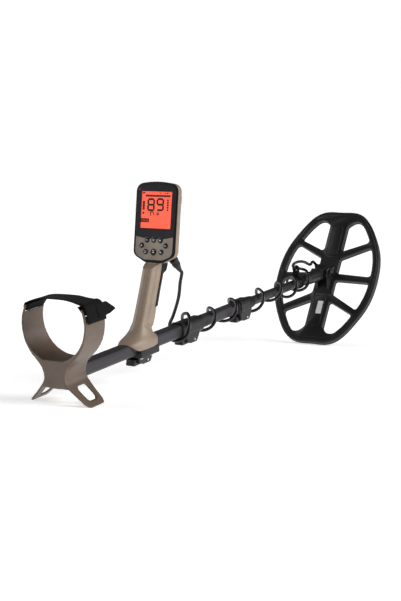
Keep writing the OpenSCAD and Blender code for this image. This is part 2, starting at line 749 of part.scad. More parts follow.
module keypad_outline(d) {
    difference() {
        polygon(pod_outline(lens_edge + d));
        translate([0, lens_bottom + lens_arc_r]) circle(lens_arc_r + 0.5 + d, $fn = 200);
    }
}

module key_holes(r_gap) {
    for (i = [0:7]) translate([0, keys_at[i][0], keys_at[i][1]])
        rod_x((i == 6 ? big_key_r : key_r) + r_gap, -5, bezel_t + 5);
}

module front_bezel() {
    color(black) on_shaft() on_pod() difference() {
        pod_plate(inset, 0, bezel_t);
        along_x(-1, lens_t) lens_outline(-fit_gap);
        along_x(-1, keypad_t - keypad_proud) keypad_outline(-fit_gap);
        box([0, bezel_t + 1], [-lcd_w / 2 - fit_gap, lcd_w / 2 + fit_gap],
            [lcd_z - lcd_h / 2 - fit_gap, lcd_z + lcd_h / 2 + fit_gap]);
        key_holes(run_gap);
        for (p = pod_screws_at) translate([0, p[0], p[1]]) rod_x(screw_r + fit_gap, 3, bezel_t + 1);
    }
}

module display_lens() {
    color("#2a2628", 0.5) on_shaft() on_pod() along_x(0, lens_t) lens_outline(0);
}

module display_panel() {
    color("#ff644b") on_shaft() on_pod() box([lens_t + fit_gap, lens_t + lcd_t], [-lcd_w / 2, lcd_w / 2],
        [lcd_z - lcd_h / 2, lcd_z + lcd_h / 2]);
}

module keypad_panel() {
    color(tan_grey) on_shaft() on_pod() difference() {
        along_x(-keypad_proud, keypad_t - keypad_proud) keypad_outline(0);
        key_holes(run_gap / 2);
    }
}

module key(i) {
    r = i == 6 ? big_key_r : key_r;
    color(black) on_shaft() on_pod() translate([0, keys_at[i][0], keys_at[i][1]])
        rotate([0, 90, 0]) rotate_extrude() polygon([[0, -key_proud - 0.5], [r * 0.6, -key_proud - 0.35],
            [r * 0.85, -key_proud], [r, -key_proud + 0.7], [r, 3], [1.5, 3], [1.5, key_stem],
            [0, key_stem]]);
}

// A ring round the bezel
module pod_ring(x0, x1) {
    along_x(x0, x1) difference() {
        polygon(pod_outline(0));
        polygon(pod_outline(inset - fit_gap));
    }
}

module pod_gasket() {
    color(black) on_shaft() on_pod() pod_ring(1, 1 + gasket_t);
}

module rear_housing() {
    color(tan_grey) on_shaft() on_pod() difference() {
        union() {
            pod_plate(0, bezel_t, cover_x);
            pod_ring(1 + gasket_t, bezel_t + 0.5);
            box([-3, 9], [-8, 8], [-20, 0]);
            box([bezel_t, 9], [-8, 8], [-1, 3]);
        }
        along_x(bezel_t + 1, cover_x + 1) polygon(pod_outline(wall));
        along_x(bezel_t - 1, bezel_t + 2) polygon(pod_outline(wall));
        stem_hole();
    }
}

module stem_hole() {
    p = grip_screws_at[0];
    dx = handle_x + p[0] - pod_x;
    dz = p[1] - pod_z;
    rotate([0, -pod_tilt, 0]) translate([dx, 0, dz]) rod_y(screw_r + fit_gap, -12, 12);
}

module back_cover() {
    color(black) on_shaft() on_pod() difference() {
        union() {
            pod_plate(inset, cover_x, cover_back);
            along_x(cover_back - 1, bulge_back) polygon(rounded([[-bulge_w / 2, bulge_z0],
                [bulge_w / 2, bulge_z0], [bulge_w / 2, bulge_z1], [-bulge_w / 2, bulge_z1]], [8, 8, 8, 8]));
            for (p = pod_screws_at) translate([0, p[0], p[1]]) rod_x(3, board_x + board_t, cover_x + 1);
            plug_boss();
        }
        box([cover_x - 1, bulge_back - 2], [-cell_r - 1, cell_r + 1], [bulge_z0 + 2, cell_z + cell_l + 1]);
        for (p = pod_screws_at) translate([0, p[0], p[1]]) rod_x(screw_r + fit_gap, 5, cover_back + 1);
        translate([bulge_back - 6, 0, bulge_z1 - jack_depth]) cylinder(r = jack_r, h = jack_depth + 1);
        along_plug() translate([0, 0, 1]) cylinder(r = socket_r + fit_gap, h = 20);
        translate([cover_x, -pod_w / 2 + inset - 1, button_z]) box([-1, cover_t - 0.6], [0, 3.2], [-6, 6]);
    }
}

// Places children along the cable plug, whose axis leaves the back cover backwards and down
module along_plug() {
    translate(plug_start) rotate([0, plug_lean, plug_yaw]) children();
}

module plug_boss() {
    difference() {
        along_plug() translate([0, 0, -4]) cylinder(r = socket_r + 1.6, h = 4 + socket_to);
        box([-10, cover_x], [-60, 0], [-30, 60]);
    }
}

module circuit_board() {
    color("#2e6b45") on_shaft() on_pod() difference() {
        along_x(board_x, board_x + board_t) intersection() {
            polygon(pod_outline(wall + 1));
            translate([-pod_w / 2, 16]) square([pod_w, pod_h]);
        }
        for (p = pod_screws_at) translate([0, p[0], p[1]]) rod_x(screw_r + fit_gap, 0, 20);
    }
}

module battery_cell() {
    color("#3d6f9e") on_shaft() on_pod() translate([bulge_back - 2 - cell_r - run_gap, 0, cell_z])
        cylinder(r = cell_r, h = cell_l);
}

module speaker() {
    color(steel) on_shaft() on_pod() translate([0, 0, 108])
        rod_x(speaker_r, board_x + board_t + fit_gap, cover_x - fit_gap);
}

module pod_screws() {
    color(steel) on_shaft() on_pod() for (p = pod_screws_at) translate([0, p[0], p[1]]) {
        rod_x(screw_r, 3.2, cover_back);
        rod_x(screw_r * 1.8, cover_back, cover_back + 1.5);
    }
}

module power_button() {
    color("#30323a") on_shaft() on_pod() translate([cover_x, -pod_w / 2 + inset, button_z])
        box([0.1, cover_t - 0.8], [-1, 1.2], [-5.7, 5.7]);
}

module cable_socket() {
    color(steel) on_shaft() on_pod() along_plug() difference() {
        translate([0, 0, socket_from]) cylinder(r = socket_r, h = socket_to - socket_from);
        translate([0, 0, socket_from + 1.6]) cylinder(r = socket_bore, h = 10);
    }
}

module cable_plug() {
    color(black) on_shaft() on_pod() along_plug() {
        translate([0, 0, socket_from + 1.7]) cylinder(r = socket_bore - fit_gap, h = 4);
        translate([0, 0, socket_to + 0.1]) cylinder(r = 6.8, h = 9);
        translate([0, 0, 17.1]) cylinder(r1 = 6.2, r2 = cable_d / 2 + 0.8, h = boot_end - 17.1);
    }
}

// Yoke and coil

module yoke() {
    neck = pivot_x - eye_r - 12;
    color(black) on_shaft() difference() {
        union() {
            rotate([0, 90, 0]) rotate_extrude() polygon([[0, lower_end_x - 20],
                [lower_inner_d / 2 - fit_gap, lower_end_x - 20],
                [lower_inner_d / 2 - fit_gap, lower_end_x], [yoke_collar_r, lower_end_x],
                [yoke_collar_r, lower_end_x + 14], [9.8, lower_end_x + 16], [10.5, lower_end_x + 30],
                [yoke_r - 0.5, lower_end_x + 60],
                [yoke_r, lower_end_x + 80], [yoke_r, neck - 4], [yoke_r - 2, neck], [0, neck]]);
            box([neck - 10, pivot_x], [-tongue_t / 2, tongue_t / 2], [-eye_r + 2, eye_r - 2]);
            translate([pivot_x, 0, 0]) rod_y(eye_r, -tongue_t / 2, tongue_t / 2);
        }
        translate([pivot_x, 0, 0]) rod_y(bolt_r + pin_gap, -tongue_t, tongue_t);
    }
}

module friction_washers() {
    color("#26262a") on_shaft() translate([pivot_x, 0, 0]) for (s = [-1, 1])
        translate([0, s * (tongue_t / 2 + washer_t / 2), 0]) difference() {
            rod_y(eye_r - 2, -washer_t / 2, washer_t / 2);
            rod_y(bolt_r + pin_gap, -washer_t, washer_t);
        }
}

module pivot_bolt() {
    color(black) on_shaft() translate([pivot_x, 0, 0]) {
        rod_y(bolt_r, -ear_out, ear_out + 12);
        rod_y(bolt_r * 2.2, -ear_out - 5, -ear_out);
    }
}

module pivot_nut() {
    color(black) on_shaft() translate([pivot_x, 0, 0]) difference() {
        union() {
            rod_y(bolt_r * 2.1, ear_out, ear_out + 9);
            box([-bolt_r * 3.6, bolt_r * 3.6], [ear_out + 3, ear_out + 9], [-2, 2]);
        }
        rod_y(bolt_r + fit_gap, 0, ear_out + 20);
    }
}

// The coil's outline is an ellipse with a few cosine terms that square its ends off
function coil_ratio(a) = 1 - 0.009 * cos(4 * a) - 0.015 * cos(6 * a) - 0.010 * cos(8 * a);
function coil_point(a, d) = [(coil_a - d) * cos(a) / coil_ratio(0), (coil_b - d) * sin(a) / coil_ratio(90)]
    * coil_ratio(a);
function coil_outline(d) = [for (k = [0:95]) coil_point(3.75 * k, d)];

function window(w) = let (rim = [for (k = [0:4]) coil_point(lerp(w[0], w[1], k / 4), rim_w)],
    b = spine_b + w[4], r = w[5])
    rounded(concat(rim, [[min(w[2], w[3]), b], [max(w[2], w[3]), b]]),
        [r[0], 0, 0, 0, r[1], r[2], r[3]]);

module coil_windows() {
    for (w = WINDOWS) {
        polygon(window(w));
        mirror([0, 1]) polygon(window(w));
    }
}

module coil_face(d) {
    difference() {
        polygon(coil_outline(d));
        difference() {
            coil_windows();
            translate(relief_at) circle(8);
        }
    }
}

// A winding is a D: half of the rim, closed along the spine past its middle
module winding_outline(s, d, w) {
    past = 6;
    difference() {
        intersection() {
            polygon(coil_outline(d));
            translate([-coil_a, s > 0 ? -past - w : past + w - coil_b * 2]) square([coil_a * 2, coil_b * 2]);
        }
        intersection() {
            polygon(coil_outline(d + w));
            translate([-coil_a, s > 0 ? -past : past - coil_b * 2]) square([coil_a * 2, coil_b * 2]);
        }
    }
}

module ear_side() {
    translate([pivot_u, pivot_h]) circle(eye_r);
    polygon([[-34, -1], [26, -1], [22, 3], [pivot_u + eye_r, pivot_h - 2],
        [pivot_u - eye_r, pivot_h - 2], [-30, 3]]);
}

module coil_upper_shell() {
    color(black) on_shaft() on_coil() difference() {
        union() {
            translate([0, 0, -shell_t]) linear_extrude(shell_t) coil_face(0);
            along_y(ear_in, ear_out) ear_side();
            along_y(-ear_out, -ear_in) ear_side();
        }
        translate([0, 0, -shell_t - 1]) linear_extrude(1 + winding_t + fit_gap)
            winding_outline(1, rim_w / 2 - 3, winding_w + 1);
        translate([0, 0, -shell_t - 1]) linear_extrude(1 + 2 * winding_t + 1)
            winding_outline(-1, rim_w / 2 - 3, winding_w + 1);
        translate([pivot_u, 0, pivot_h]) rod_y(bolt_r + fit_gap, -ear_out - 1, ear_out + 1);
    }
}

module coil_skid_plate() {
    color(black) on_shaft() on_coil() translate([0, 0, -coil_t]) linear_extrude(skid_t) coil_face(0);
}

module transmit_winding() {
    color("#b5653a") on_shaft() on_coil() translate([0, 0, -shell_t]) linear_extrude(winding_t)
        winding_outline(1, rim_w / 2 - 2.5, winding_w);
}

module receive_winding() {
    color("#b5653a") on_shaft() on_coil() translate([0, 0, -shell_t + winding_t + 0.5])
        linear_extrude(winding_t)
        winding_outline(-1, rim_w / 2 - 2.5, winding_w);
}

module coil_label() {
    color("white") on_shaft() on_coil() box([-88, -59], [-9.5, 2.5], [0, 0.3]);
}

module strain_relief() {
    color(black) on_shaft() on_coil() translate([relief_at[0], relief_at[1], 0]) {
        cylinder(r = 5.8, h = 5);
        translate([0, 0, 5]) cylinder(r1 = 5, r2 = cable_d / 2 + 0.7, h = relief_h - 5);
    }
}

// Cable

// One row of a swept tube's frame for each point, carried along without twist
function heading(p, i) = unit(p[min(i + 1, len(p) - 1)] - p[max(i - 1, 0)]);
function across(n, t) = unit(n - (n * t) * t);
function frames(p, n0) = [for (i = 0, n = across(n0, heading(p, 0)); i < len(p);
    i = i + 1, n = i < len(p) ? across(n, heading(p, i)) : n) n];

// A cord along p. Where it meets the next run, p goes on for one point past the end that is drawn,
// so that both runs end square to the same line, and each stops half of cable_gap short
module cord(p, start, first = 0, past = 0) {
    sides = 8;
    n = frames(p, start);
    last = len(p) - 1 - past;
    rows = [for (i = [first:last]) [p[i] + heading(p, i) * cable_gap / 2
        * (i == 0 || i == len(p) - 1 ? 0 : i == first ? 1 : i == last ? -1 : 0), n[i], heading(p, i)]];
    points = [for (r = rows, k = [0:sides - 1]) let (a = 360 * k / sides)
        r[0] + cable_d / 2 * (cos(a) * r[1] + sin(a) * cross(r[2], r[1]))];
    m = len(rows) - 1;
    polyhedron(points, concat([[for (k = [0:sides - 1]) k]], [[for (k = [sides - 1:-1:0]) m * sides + k]],
        [for (i = [0:m - 1], k = [0:sides - 1]) let (a = i * sides + k, b = i * sides + (k + 1) % sides)
            each [[a, a + sides, b + sides], [a, b + sides, b]]]));
}

// The points of one turn, up to its last top or to step last
function turn(t, last = 7) = [for (k = [0:last]) let (a = 45 * k, f = k < 4 ? k / 4 : k / 4 - 1,
    u = k < 4 ? 0 : 4) [lerp(k < 4 ? t[0] : t[2], k < 4 ? t[2] : t[4], f), t[k < 4 ? 6 : 7] * sin(a),
        (t[1 + u] + t[3]) / 2 + (t[1 + u] - t[3]) / 2 * cos(a)]];
function turns(list) = concat([for (t = list) each turn(t)], [next_top(list)]);
function next_top(list, at = 4) = let (t = list[len(list) - 1]) [t[at], 0, t[at + 1]];

// A point of the pod's frame and a point of the coil's frame, in the shaft's frame
function from_pod(p) = [pod_x + p[0] * cos(pod_tilt) + p[2] * sin(pod_tilt), p[1],
    pod_z - p[0] * sin(pod_tilt) + p[2] * cos(pod_tilt)];
function from_coil(p) = let (a = (p[0] - pivot_u) * coil_l + (p[2] - pivot_h) * coil_n)
    [pivot_x + a[0], p[1], a[1]];
function along_plug_axis(h) = let (q = h * sin(plug_lean))
    from_pod(plug_start + [q * cos(plug_yaw), q * sin(plug_yaw), h * cos(plug_lean)]);

pod_points = curve(concat([for (h = [-7, 0.3, 7]) along_plug_axis(boot_end + h)], pod_run,
    [next_top([upper_turns[0]], 0)]), 2);
upper_points = turns(upper_turns);
middle_points = turns(middle_turns);
lower_points = concat(turn(lower_turns[0]), turn(lower_turns[1], 6), coil_run,
    [for (h = [0.2, -5]) from_coil([relief_at[0], relief_at[1], relief_h + h])]);

module pod_cable_run() {
    color(black) on_shaft() cord(concat(pod_points, [upper_points[1]]), [0, 1, 0], 2, 1);
}

module upper_cable_run() {
    color(black) on_shaft() cord(concat([pod_points[len(pod_points) - 2]], upper_points,
        [middle_points[1]]), [0, 0, 1], 1, 1);
}

module middle_cable_run() {
    color(black) on_shaft() cord(concat([upper_points[len(upper_points) - 2]], middle_points,
        [lower_points[1]]), [0, 0, 1], 1, 1);
}

module lower_cable_run() {
    color(black) on_shaft() cord(concat([middle_points[len(middle_points) - 2]], lower_points),
        [0, 0, 1], 1, 1);
}

module cable_tie() {
    y = coil_run[4][1];
    z = coil_run[4][2];
    color(black) on_shaft() along_x(tie_x - tie_w / 2, tie_x + tie_w / 2) difference() {
        union() {
            circle(12.4);
            translate([y, z]) circle(6.2);
            polygon([[-3, 10], [9, 8], [y + 5.4, z], [y - 5.4, z]]);
        }
        circle(yoke_collar_r + fit_gap);
        translate([y, z]) circle(4.4);
    }
}

upper_tube();
tube_end_cap();
armrest();
armrest_screws();
arm_strap();
upper_cam_collar();
upper_cam_pin();
upper_cam_lever();
middle_tube();
middle_guide_bush();
lower_cam_collar();
lower_cam_pin();
lower_cam_lever();
lower_tube();
lower_guide_bush();
grip_left();
grip_right();
grip_front_insert();
grip_screws();
handle_clamp();
clamp_screws();
handle_cam_pin();
handle_cam_lever();
front_bezel();
display_lens();
display_panel();
keypad_panel();
pod_gasket();
rear_housing();
back_cover();
circuit_board();
battery_cell();
speaker();
pod_screws();
power_button();
cable_socket();
cable_plug();
yoke();
friction_washers();
pivot_bolt();
pivot_nut();
coil_upper_shell();
coil_skid_plate();
transmit_winding();
receive_winding();
coil_label();
strain_relief();
pod_cable_run();
upper_cable_run();
middle_cable_run();
lower_cable_run();
cable_tie();
key(0);  // key_1
key(1);  // key_2
key(2);  // key_3
key(3);  // key_4
key(4);  // key_5
key(5);  // key_6
key(6);  // key_7
key(7);  // key_8
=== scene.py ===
# Metal detector: telescopic shaft, armrest, handle with its control pod, and an open-spoked coil.
# Sizes are in the shaft's millimetres, with x along the tubes, and are moved to the row frame.
import json
import math

import bmesh
import bpy
import numpy as np
from mathutils import Matrix, Vector
from mathutils.bvhtree import BVHTree


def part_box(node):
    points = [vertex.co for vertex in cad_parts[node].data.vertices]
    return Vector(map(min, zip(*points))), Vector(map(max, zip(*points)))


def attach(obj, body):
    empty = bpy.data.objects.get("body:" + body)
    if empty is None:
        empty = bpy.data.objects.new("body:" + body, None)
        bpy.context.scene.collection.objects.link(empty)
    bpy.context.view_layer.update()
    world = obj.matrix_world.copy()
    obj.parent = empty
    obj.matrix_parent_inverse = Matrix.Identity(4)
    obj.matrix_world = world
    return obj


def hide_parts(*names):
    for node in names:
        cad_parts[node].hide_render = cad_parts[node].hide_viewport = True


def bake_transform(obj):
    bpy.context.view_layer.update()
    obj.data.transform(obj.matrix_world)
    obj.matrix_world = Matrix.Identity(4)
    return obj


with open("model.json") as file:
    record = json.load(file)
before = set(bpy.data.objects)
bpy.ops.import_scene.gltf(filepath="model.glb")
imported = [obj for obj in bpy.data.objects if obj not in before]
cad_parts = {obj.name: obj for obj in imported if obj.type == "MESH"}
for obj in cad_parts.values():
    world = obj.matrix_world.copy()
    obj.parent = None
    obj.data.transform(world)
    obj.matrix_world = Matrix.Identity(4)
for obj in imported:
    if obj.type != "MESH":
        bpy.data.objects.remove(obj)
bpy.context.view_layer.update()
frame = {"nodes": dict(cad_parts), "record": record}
nodes = frame["nodes"]
mm = 0.001
bodyOf = {n: b for b, members in frame["record"]["behaviour"]["bodies"].items() for n in members}
slotOf = {s["node"]: s["material_slot"] for s in frame["record"]["subparts"]}

# The three frames that pieces are drawn in, as matrices to the row frame
layout = {"tilt": 6.64761, "midX": 507.981, "lift": 39.0081, "podX": 272.5, "podZ": 128, "podLean": 10.2,
          "pivotX": 932, "coilPitch": 54.6, "pivotU": -2.5, "pivotH": 18}


def turned(degrees):
    return Matrix.Rotation(math.radians(degrees), 4, "Y")


shaftFrame = (Matrix.Translation(Vector((-layout["midX"], 0, layout["lift"])) * mm)
              @ turned(-layout["tilt"]) @ Matrix.Scale(mm, 4))
podFrame = shaftFrame @ Matrix.Translation((layout["podX"], 0, layout["podZ"])) @ turned(layout["podLean"])
coilFrame = (shaftFrame @ Matrix.Translation((layout["pivotX"], 0, 0)) @ turned(-layout["coilPitch"])
             @ Matrix.Translation((-layout["pivotU"], 0, -layout["pivotH"])))
toShaft, toPod, toCoil = shaftFrame.inverted(), podFrame.inverted(), coilFrame.inverted()
faceOn = Matrix(((0, 0, 1, 0), (1, 0, 0, 0), (0, 1, 0, 0), (0, 0, 0, 1)))  # stands a flat drawing up across x


def linked(name, data):
    made = bpy.data.objects.new(name, data)
    bpy.context.scene.collection.objects.link(made)
    return made


# Camera: its place, turn and lens were settled from the image points listed further down
view = {"place": (-1.912739, -1.053936, 0.328035), "turn": (84.4661, -1.46277, -59.76077),
        "lens": 72.2412, "sensor": 36.0, "width": 401, "height": 601, "near": 0.05, "far": 60}
camera = linked("camera", bpy.data.cameras.new("camera"))
camera.location = view["place"]
camera.rotation_euler = [math.radians(a) for a in view["turn"]]
camera.data.lens = view["lens"]
camera.data.sensor_width = view["sensor"]
camera.data.sensor_fit = "AUTO"
camera.data.clip_start, camera.data.clip_end = view["near"], view["far"]
bpy.context.scene.camera = camera
print("camera placed")


def colour(code):  # an sRGB hex code as linear RGBA
    parts = [int(code[i:i + 2], 16) / 255 for i in (1, 3, 5)]
    return tuple(c / 12.92 if c <= 0.04045 else ((c + 0.055) / 1.055) ** 2.4 for c in parts) + (1.0,)


def wire(tree, node, links):
    # a source is a socket, or a node whose first output is meant
    for key, source in links.items():
        tree.links.new(source.outputs[0] if isinstance(source, bpy.types.Node) else source, node.inputs[key])


def addNode(tree, kind, values=None, links=None, **settings):
    made = tree.nodes.new(kind)
    for key, value in settings.items():
        setattr(made, key, value)
    for key, value in (values or {}).items():
        made.inputs[key].default_value = value
    wire(tree, made, links or {})
    return made


def startMaterial(name, values):
    made = bpy.data.materials.new(name)
    made.use_nodes = True
    shader = made.node_tree.nodes["Principled BSDF"]
    for key, value in values.items():
        shader.inputs[key].default_value = value
    return made, made.node_tree, shader


# Real sizes of the finishes' patterns, in millimetres; dieLines are counts in a metre, along and across
grain = {"handling": 45, "dieLines": (6, 900, 900), "tubeCloud": 70, "thread": 1.1, "diffuser": 30,
         "toolMark": 0.5}


def coat(tree, shader, light, dark, blend):
    # the colour goes from one tone to the other as a pattern says
    tone = addNode(tree, "ShaderNodeMix", {6: colour(light), 7: colour(dark)}, {0: blend}, data_type="RGBA")
    wire(tree, shader, {"Base Color": tone.outputs[2]})
    return tone.outputs[2]


def mark(tree, shader, pattern, roughness=None, relief=None):
    # a pattern makes the surface rougher and smoother by turns, and stands up from it: strength and depth
    if roughness:
        rough = addNode(tree, "ShaderNodeMapRange", {"To Min": roughness[0], "To Max": roughness[1]},
                        {"Value": pattern})
        wire(tree, shader, {"Roughness": rough})
    if relief:
        bump = addNode(tree, "ShaderNodeBump", {"Strength": relief[0], "Distance": relief[1] * mm},
                       {"Height": pattern})
        wire(tree, shader, {"Normal": bump})


def noise(tree, place, size, detail, **others):
    # clouds or grains of one size in millimetres
    return addNode(tree, "ShaderNodeTexNoise", {"Scale": 1000 / size, "Detail": detail, **others},
                   {"Vector": place})


def mouldedPlastic(name, light, dark, roughness, gritMm=0.6, depthMm=0.05, shine=0.5, coated=0.0):
    # spark-eroded moulding: a fine even grit, with slow clouds of tone from handling
    made, tree, shader = startMaterial(name, {"IOR": 1.53, "Coat Weight": coated, "Coat Roughness": 0.2,
                                              "Specular IOR Level": shine})
    place = addNode(tree, "ShaderNodeTexCoord").outputs["Object"]
    cloud = noise(tree, place, grain["handling"], 4, Roughness=0.6)
    grit = noise(tree, place, gritMm, 2)
    blend = addNode(tree, "ShaderNodeMapRange", {"From Min": 0.3, "From Max": 0.7}, {"Value": cloud})
    coat(tree, shader, light, dark, blend)
    mark(tree, shader, grit, (roughness - 0.07, roughness + 0.07), (0.5, depthMm))
    return made


def drawnTube(name, light, dark, metallic, roughness):
    # drawn and anodised aluminium: fine die lines run along the tube
    made, tree, shader = startMaterial(name, {"Metallic": metallic})
    place = addNode(tree, "ShaderNodeTexCoord").outputs["Object"]
    level = addNode(tree, "ShaderNodeMapping", {"Rotation": (0, math.radians(layout["tilt"]), 0)},
                    {"Vector": place})
    along = addNode(tree, "ShaderNodeMapping", {"Scale": grain["dieLines"]}, {"Vector": level})
    lines = addNode(tree, "ShaderNodeTexNoise", {"Scale": 1, "Detail": 3}, {"Vector": along})
    both = addNode(tree, "ShaderNodeMath", {}, {0: lines, 1: noise(tree, place, grain["tubeCloud"], 3)},
                   operation="MULTIPLY")
    blend = addNode(tree, "ShaderNodeMapRange", {"From Min": 0.12, "From Max": 0.4}, {"Value": both})
    coat(tree, shader, light, dark, blend)
    mark(tree, shader, lines, (roughness - 0.1, roughness + 0.1), (0.25, 0.02))
    return made


def wovenStrap(name, light, dark):
    # plain-woven polyester webbing: raised threads both ways, dull with a faint sheen
    made, tree, shader = startMaterial(name, {"Roughness": 0.85, "Sheen Weight": 0.02, "Sheen Roughness": 0.5,
                                              "Specular IOR Level": 0.2, "IOR": 1.45})
    flat = addNode(tree, "ShaderNodeUVMap", uv_map="weave")
    # threads are drawn twice as coarse, to show; a wave texture has 20 / 2 pi bands for each unit of scale
    pitch = {"Scale": 1000 / (2 * grain["thread"]) * 2 * 3.14 / 20}
    waves = [addNode(tree, "ShaderNodeTexWave", pitch, {"Vector": flat}, bands_direction=way) for way in "XY"]
    cross = addNode(tree, "ShaderNodeMath", {}, {i: wave.outputs["Fac"] for i, wave in enumerate(waves)},
                    operation="MULTIPLY")
    coat(tree, shader, dark, light, cross)
    mark(tree, shader, cross, relief=(0.6, 0.25))
    return made


def litDisplay(name, bright, deep):
    # liquid crystal over an edge-lit diffuser: nearly even, with slow clouds of a deeper tone
    made, tree, shader = startMaterial(name, {"Roughness": 0.3, "Coat Weight": 0.6, "Coat Roughness": 0.08,
                                              "Emission Strength": 0.55})
    place = addNode(tree, "ShaderNodeTexCoord").outputs["Object"]
    wire(tree, shader, {"Emission Color": coat(tree, shader, bright, deep,
                                               noise(tree, place, grain["diffuser"], 1))})
    return made


def turnedSteel(name, light, roughness):
    # turned and plated metal: bright, with fine tool marks
    made, tree, shader = startMaterial(name, {"Metallic": 1.0, "Base Color": colour(light)})
    place = addNode(tree, "ShaderNodeTexCoord").outputs["Object"]
    mark(tree, shader, noise(tree, place, grain["toolMark"], 3), (roughness - 0.08, roughness + 0.1))
    return made


def clearWindow(name, tone):
    # a polished acrylic light-sensor window: small, smooth and grey
    return startMaterial(name, {"Base Color": colour(tone), "Roughness": 0.08, "IOR": 1.49})[0]


mouldings = {  # name, two tones, roughness, then grit size and depth, shine and coat where they differ
    "black_plastic": ("glassFilledNylonMoulded", "#1c191c", "#121013", 0.4, 0.6, 0.05, 0.3),
    "black_rubber": ("overmouldedRubber", "#1e1e1f", "#151416", 0.66, 0.9, 0.09, 0.3),
    "brown_plastic": ("brownAbsMoulded", "#69584a", "#54463a", 0.42),
    "tan_plastic": ("tanAbsMoulded", "#958371", "#837262", 0.48, 0.8, 0.08),
    "keypad_film": ("texturedKeypadFilm", "#a09384", "#766b60", 0.42, 0.9, 0.12),
    "screen_window": ("backPaintedAcrylicWindow", "#2b282d", "#262328", 0.2, 4, 0.002, 0.5, 0.25),
    "display_ink": ("crystalSegmentInk", "#1d0f0f", "#150b0c", 0.35, 4, 0.002),
    "cable_jacket": ("blackPolyurethaneJacket", "#161418", "#0f0d10", 0.34, 1.2, 0.03, 0.35),
    "circuit_laminate": ("greenLaminateBoard", "#2e6b45", "#235538", 0.4),
    "cell_wrap": ("blueShrinkWrap", "#3d6f9e", "#2f5f8c", 0.35),
    "label_film": ("whitePolyesterLabel", "#e4e3e6", "#d6d5d9", 0.4, 2, 0.01),
    "skid_plastic": ("blackAbsSkidMoulded", "#1a181b", "#121013", 0.44, 0.6, 0.05, 0.3)}
finishes = {slot: mouldedPlastic(*given) for slot, given in mouldings.items()}
finishes.update({
    "tube_anodised": drawnTube("anodisedAluminiumTube", "#38353a", "#272429", 0.35, 0.42),
    "tube_composite": drawnTube("carbonCompositeTube", "#252225", "#191719", 0.1, 0.38),
    "bare_steel": turnedSteel("platedSteelTurned", "#d5d4d2", 0.26),
    "bead_steel": turnedSteel("burnishedSteelBead", "#86848a", 0.34),
    "copper_winding": turnedSteel("enamelledCopperWire", "#b5653a", 0.35),
    "strap_webbing": wovenStrap("blackPolyesterWebbing", "#121113", "#040405"),
    "lit_display": litDisplay("backlitCrystalDisplay", "#ff664c", "#f75a42"),
    "sensor_window": clearWindow("polishedSensorWindow", "#77757a"),
    "studio_floor": startMaterial("paleStudioFloor", {
        "Base Color": colour("#f8f8f8"), "Roughness": 0.9, "Emission Color": (1, 1, 1, 1),
        "Emission Strength": 0.5})[0]})


def painted(mesh, finish):
    mesh.materials.clear()
    mesh.materials.append(finishes[finish])
    for face in mesh.polygons:
        face.material_index = 0


for name, node in nodes.items():
    painted(node.data, slotOf[name])
print("materials made:", len(finishes))


# Meshes: every function gives back a plain mesh
def meshOf(name, points, faces, smooth=True, moved=None):
    made = bpy.data.meshes.new(name)
    made.from_pydata([tuple(p) for p in points], [], faces)
    if moved is not None:
        made.transform(moved)
    made.polygons.foreach_set("use_smooth", [smooth] * len(made.polygons))
    made.update()
    return made


def edited(mesh, *steps):
    # runs each step on an edit copy of the mesh and puts the result back
    work = bmesh.new()
    work.from_mesh(mesh)
    for step in steps:
        step(work)
    work.to_mesh(mesh)
    work.free()
    return mesh


def outwards(mesh):
    return edited(mesh, lambda work: bmesh.ops.recalc_face_normals(work, faces=work.faces))


def joined(name, meshes):
    return edited(bpy.data.meshes.new(name), *[lambda work, m=mesh: work.from_mesh(m) for mesh in meshes])


def creased(mesh, angle):
    mesh.polygons.foreach_set("use_smooth", [True] * len(mesh.polygons))
    mesh.set_sharp_from_angle(angle=math.radians(angle))
    return mesh


def evaluated(holder, *others):
    # what the modifiers of a scratch object make of it; the scratch objects are removed
    bpy.context.view_layer.update()
    made = bpy.data.meshes.new_from_object(holder.evaluated_get(bpy.context.evaluated_depsgraph_get()))
    for scratch in (holder, *others):
        bpy.data.objects.remove(scratch)
    return made


def withModifiers(mesh, *modifiers):
    holder = linked("holder", mesh)
    for kind, settings in modifiers:
        modifier = holder.modifiers.new(kind, kind)
        for key, value in settings.items():
            setattr(modifier, key, value)
    return evaluated(holder)


def carved(mesh, cutters, operation="DIFFERENCE"):
    holder = linked("carved", mesh)
    tools = [linked("cutter", cutter) for cutter in cutters]
    for tool in tools:
        modifier = holder.modifiers.new("cut", "BOOLEAN")
        modifier.object, modifier.operation, modifier.solver = tool, operation, "EXACT"
    return evaluated(holder, *tools)


def bevel(width, limit, segments=2, **others):
    return ("BEVEL", {"width": width, "segments": segments, "limit_method": "ANGLE", "angle_limit": limit,
                      "harden_normals": True, **others})


def rounded(mesh, width, limit=0.8, segments=2):
    return withModifiers(creased(mesh, 30), bevel(width, limit, segments))


def welded(node, *steps):
    # a copy of the CAD node with its loose triangles merged
    return edited(nodes[node].data.copy(),
                  lambda work: bmesh.ops.remove_doubles(work, verts=work.verts, dist=0.002 * mm), *steps)


def flattened(work):
    # flat faces become one, and all are shaded smooth
    bmesh.ops.dissolve_degenerate(work, edges=work.edges, dist=0.002 * mm)
    bmesh.ops.dissolve_limit(work, angle_limit=math.radians(0.6), verts=work.verts, edges=work.edges)
    for face in work.faces:
        face.smooth = True


def easedNode(node, radiusMm):
    # the CAD node with its edges eased, as a moulded or machined piece has them
    return withModifiers(welded(node, flattened), bevel(
        radiusMm * mm, math.radians(28), use_clamp_overlap=False, miter_outer="MITER_ARC"))


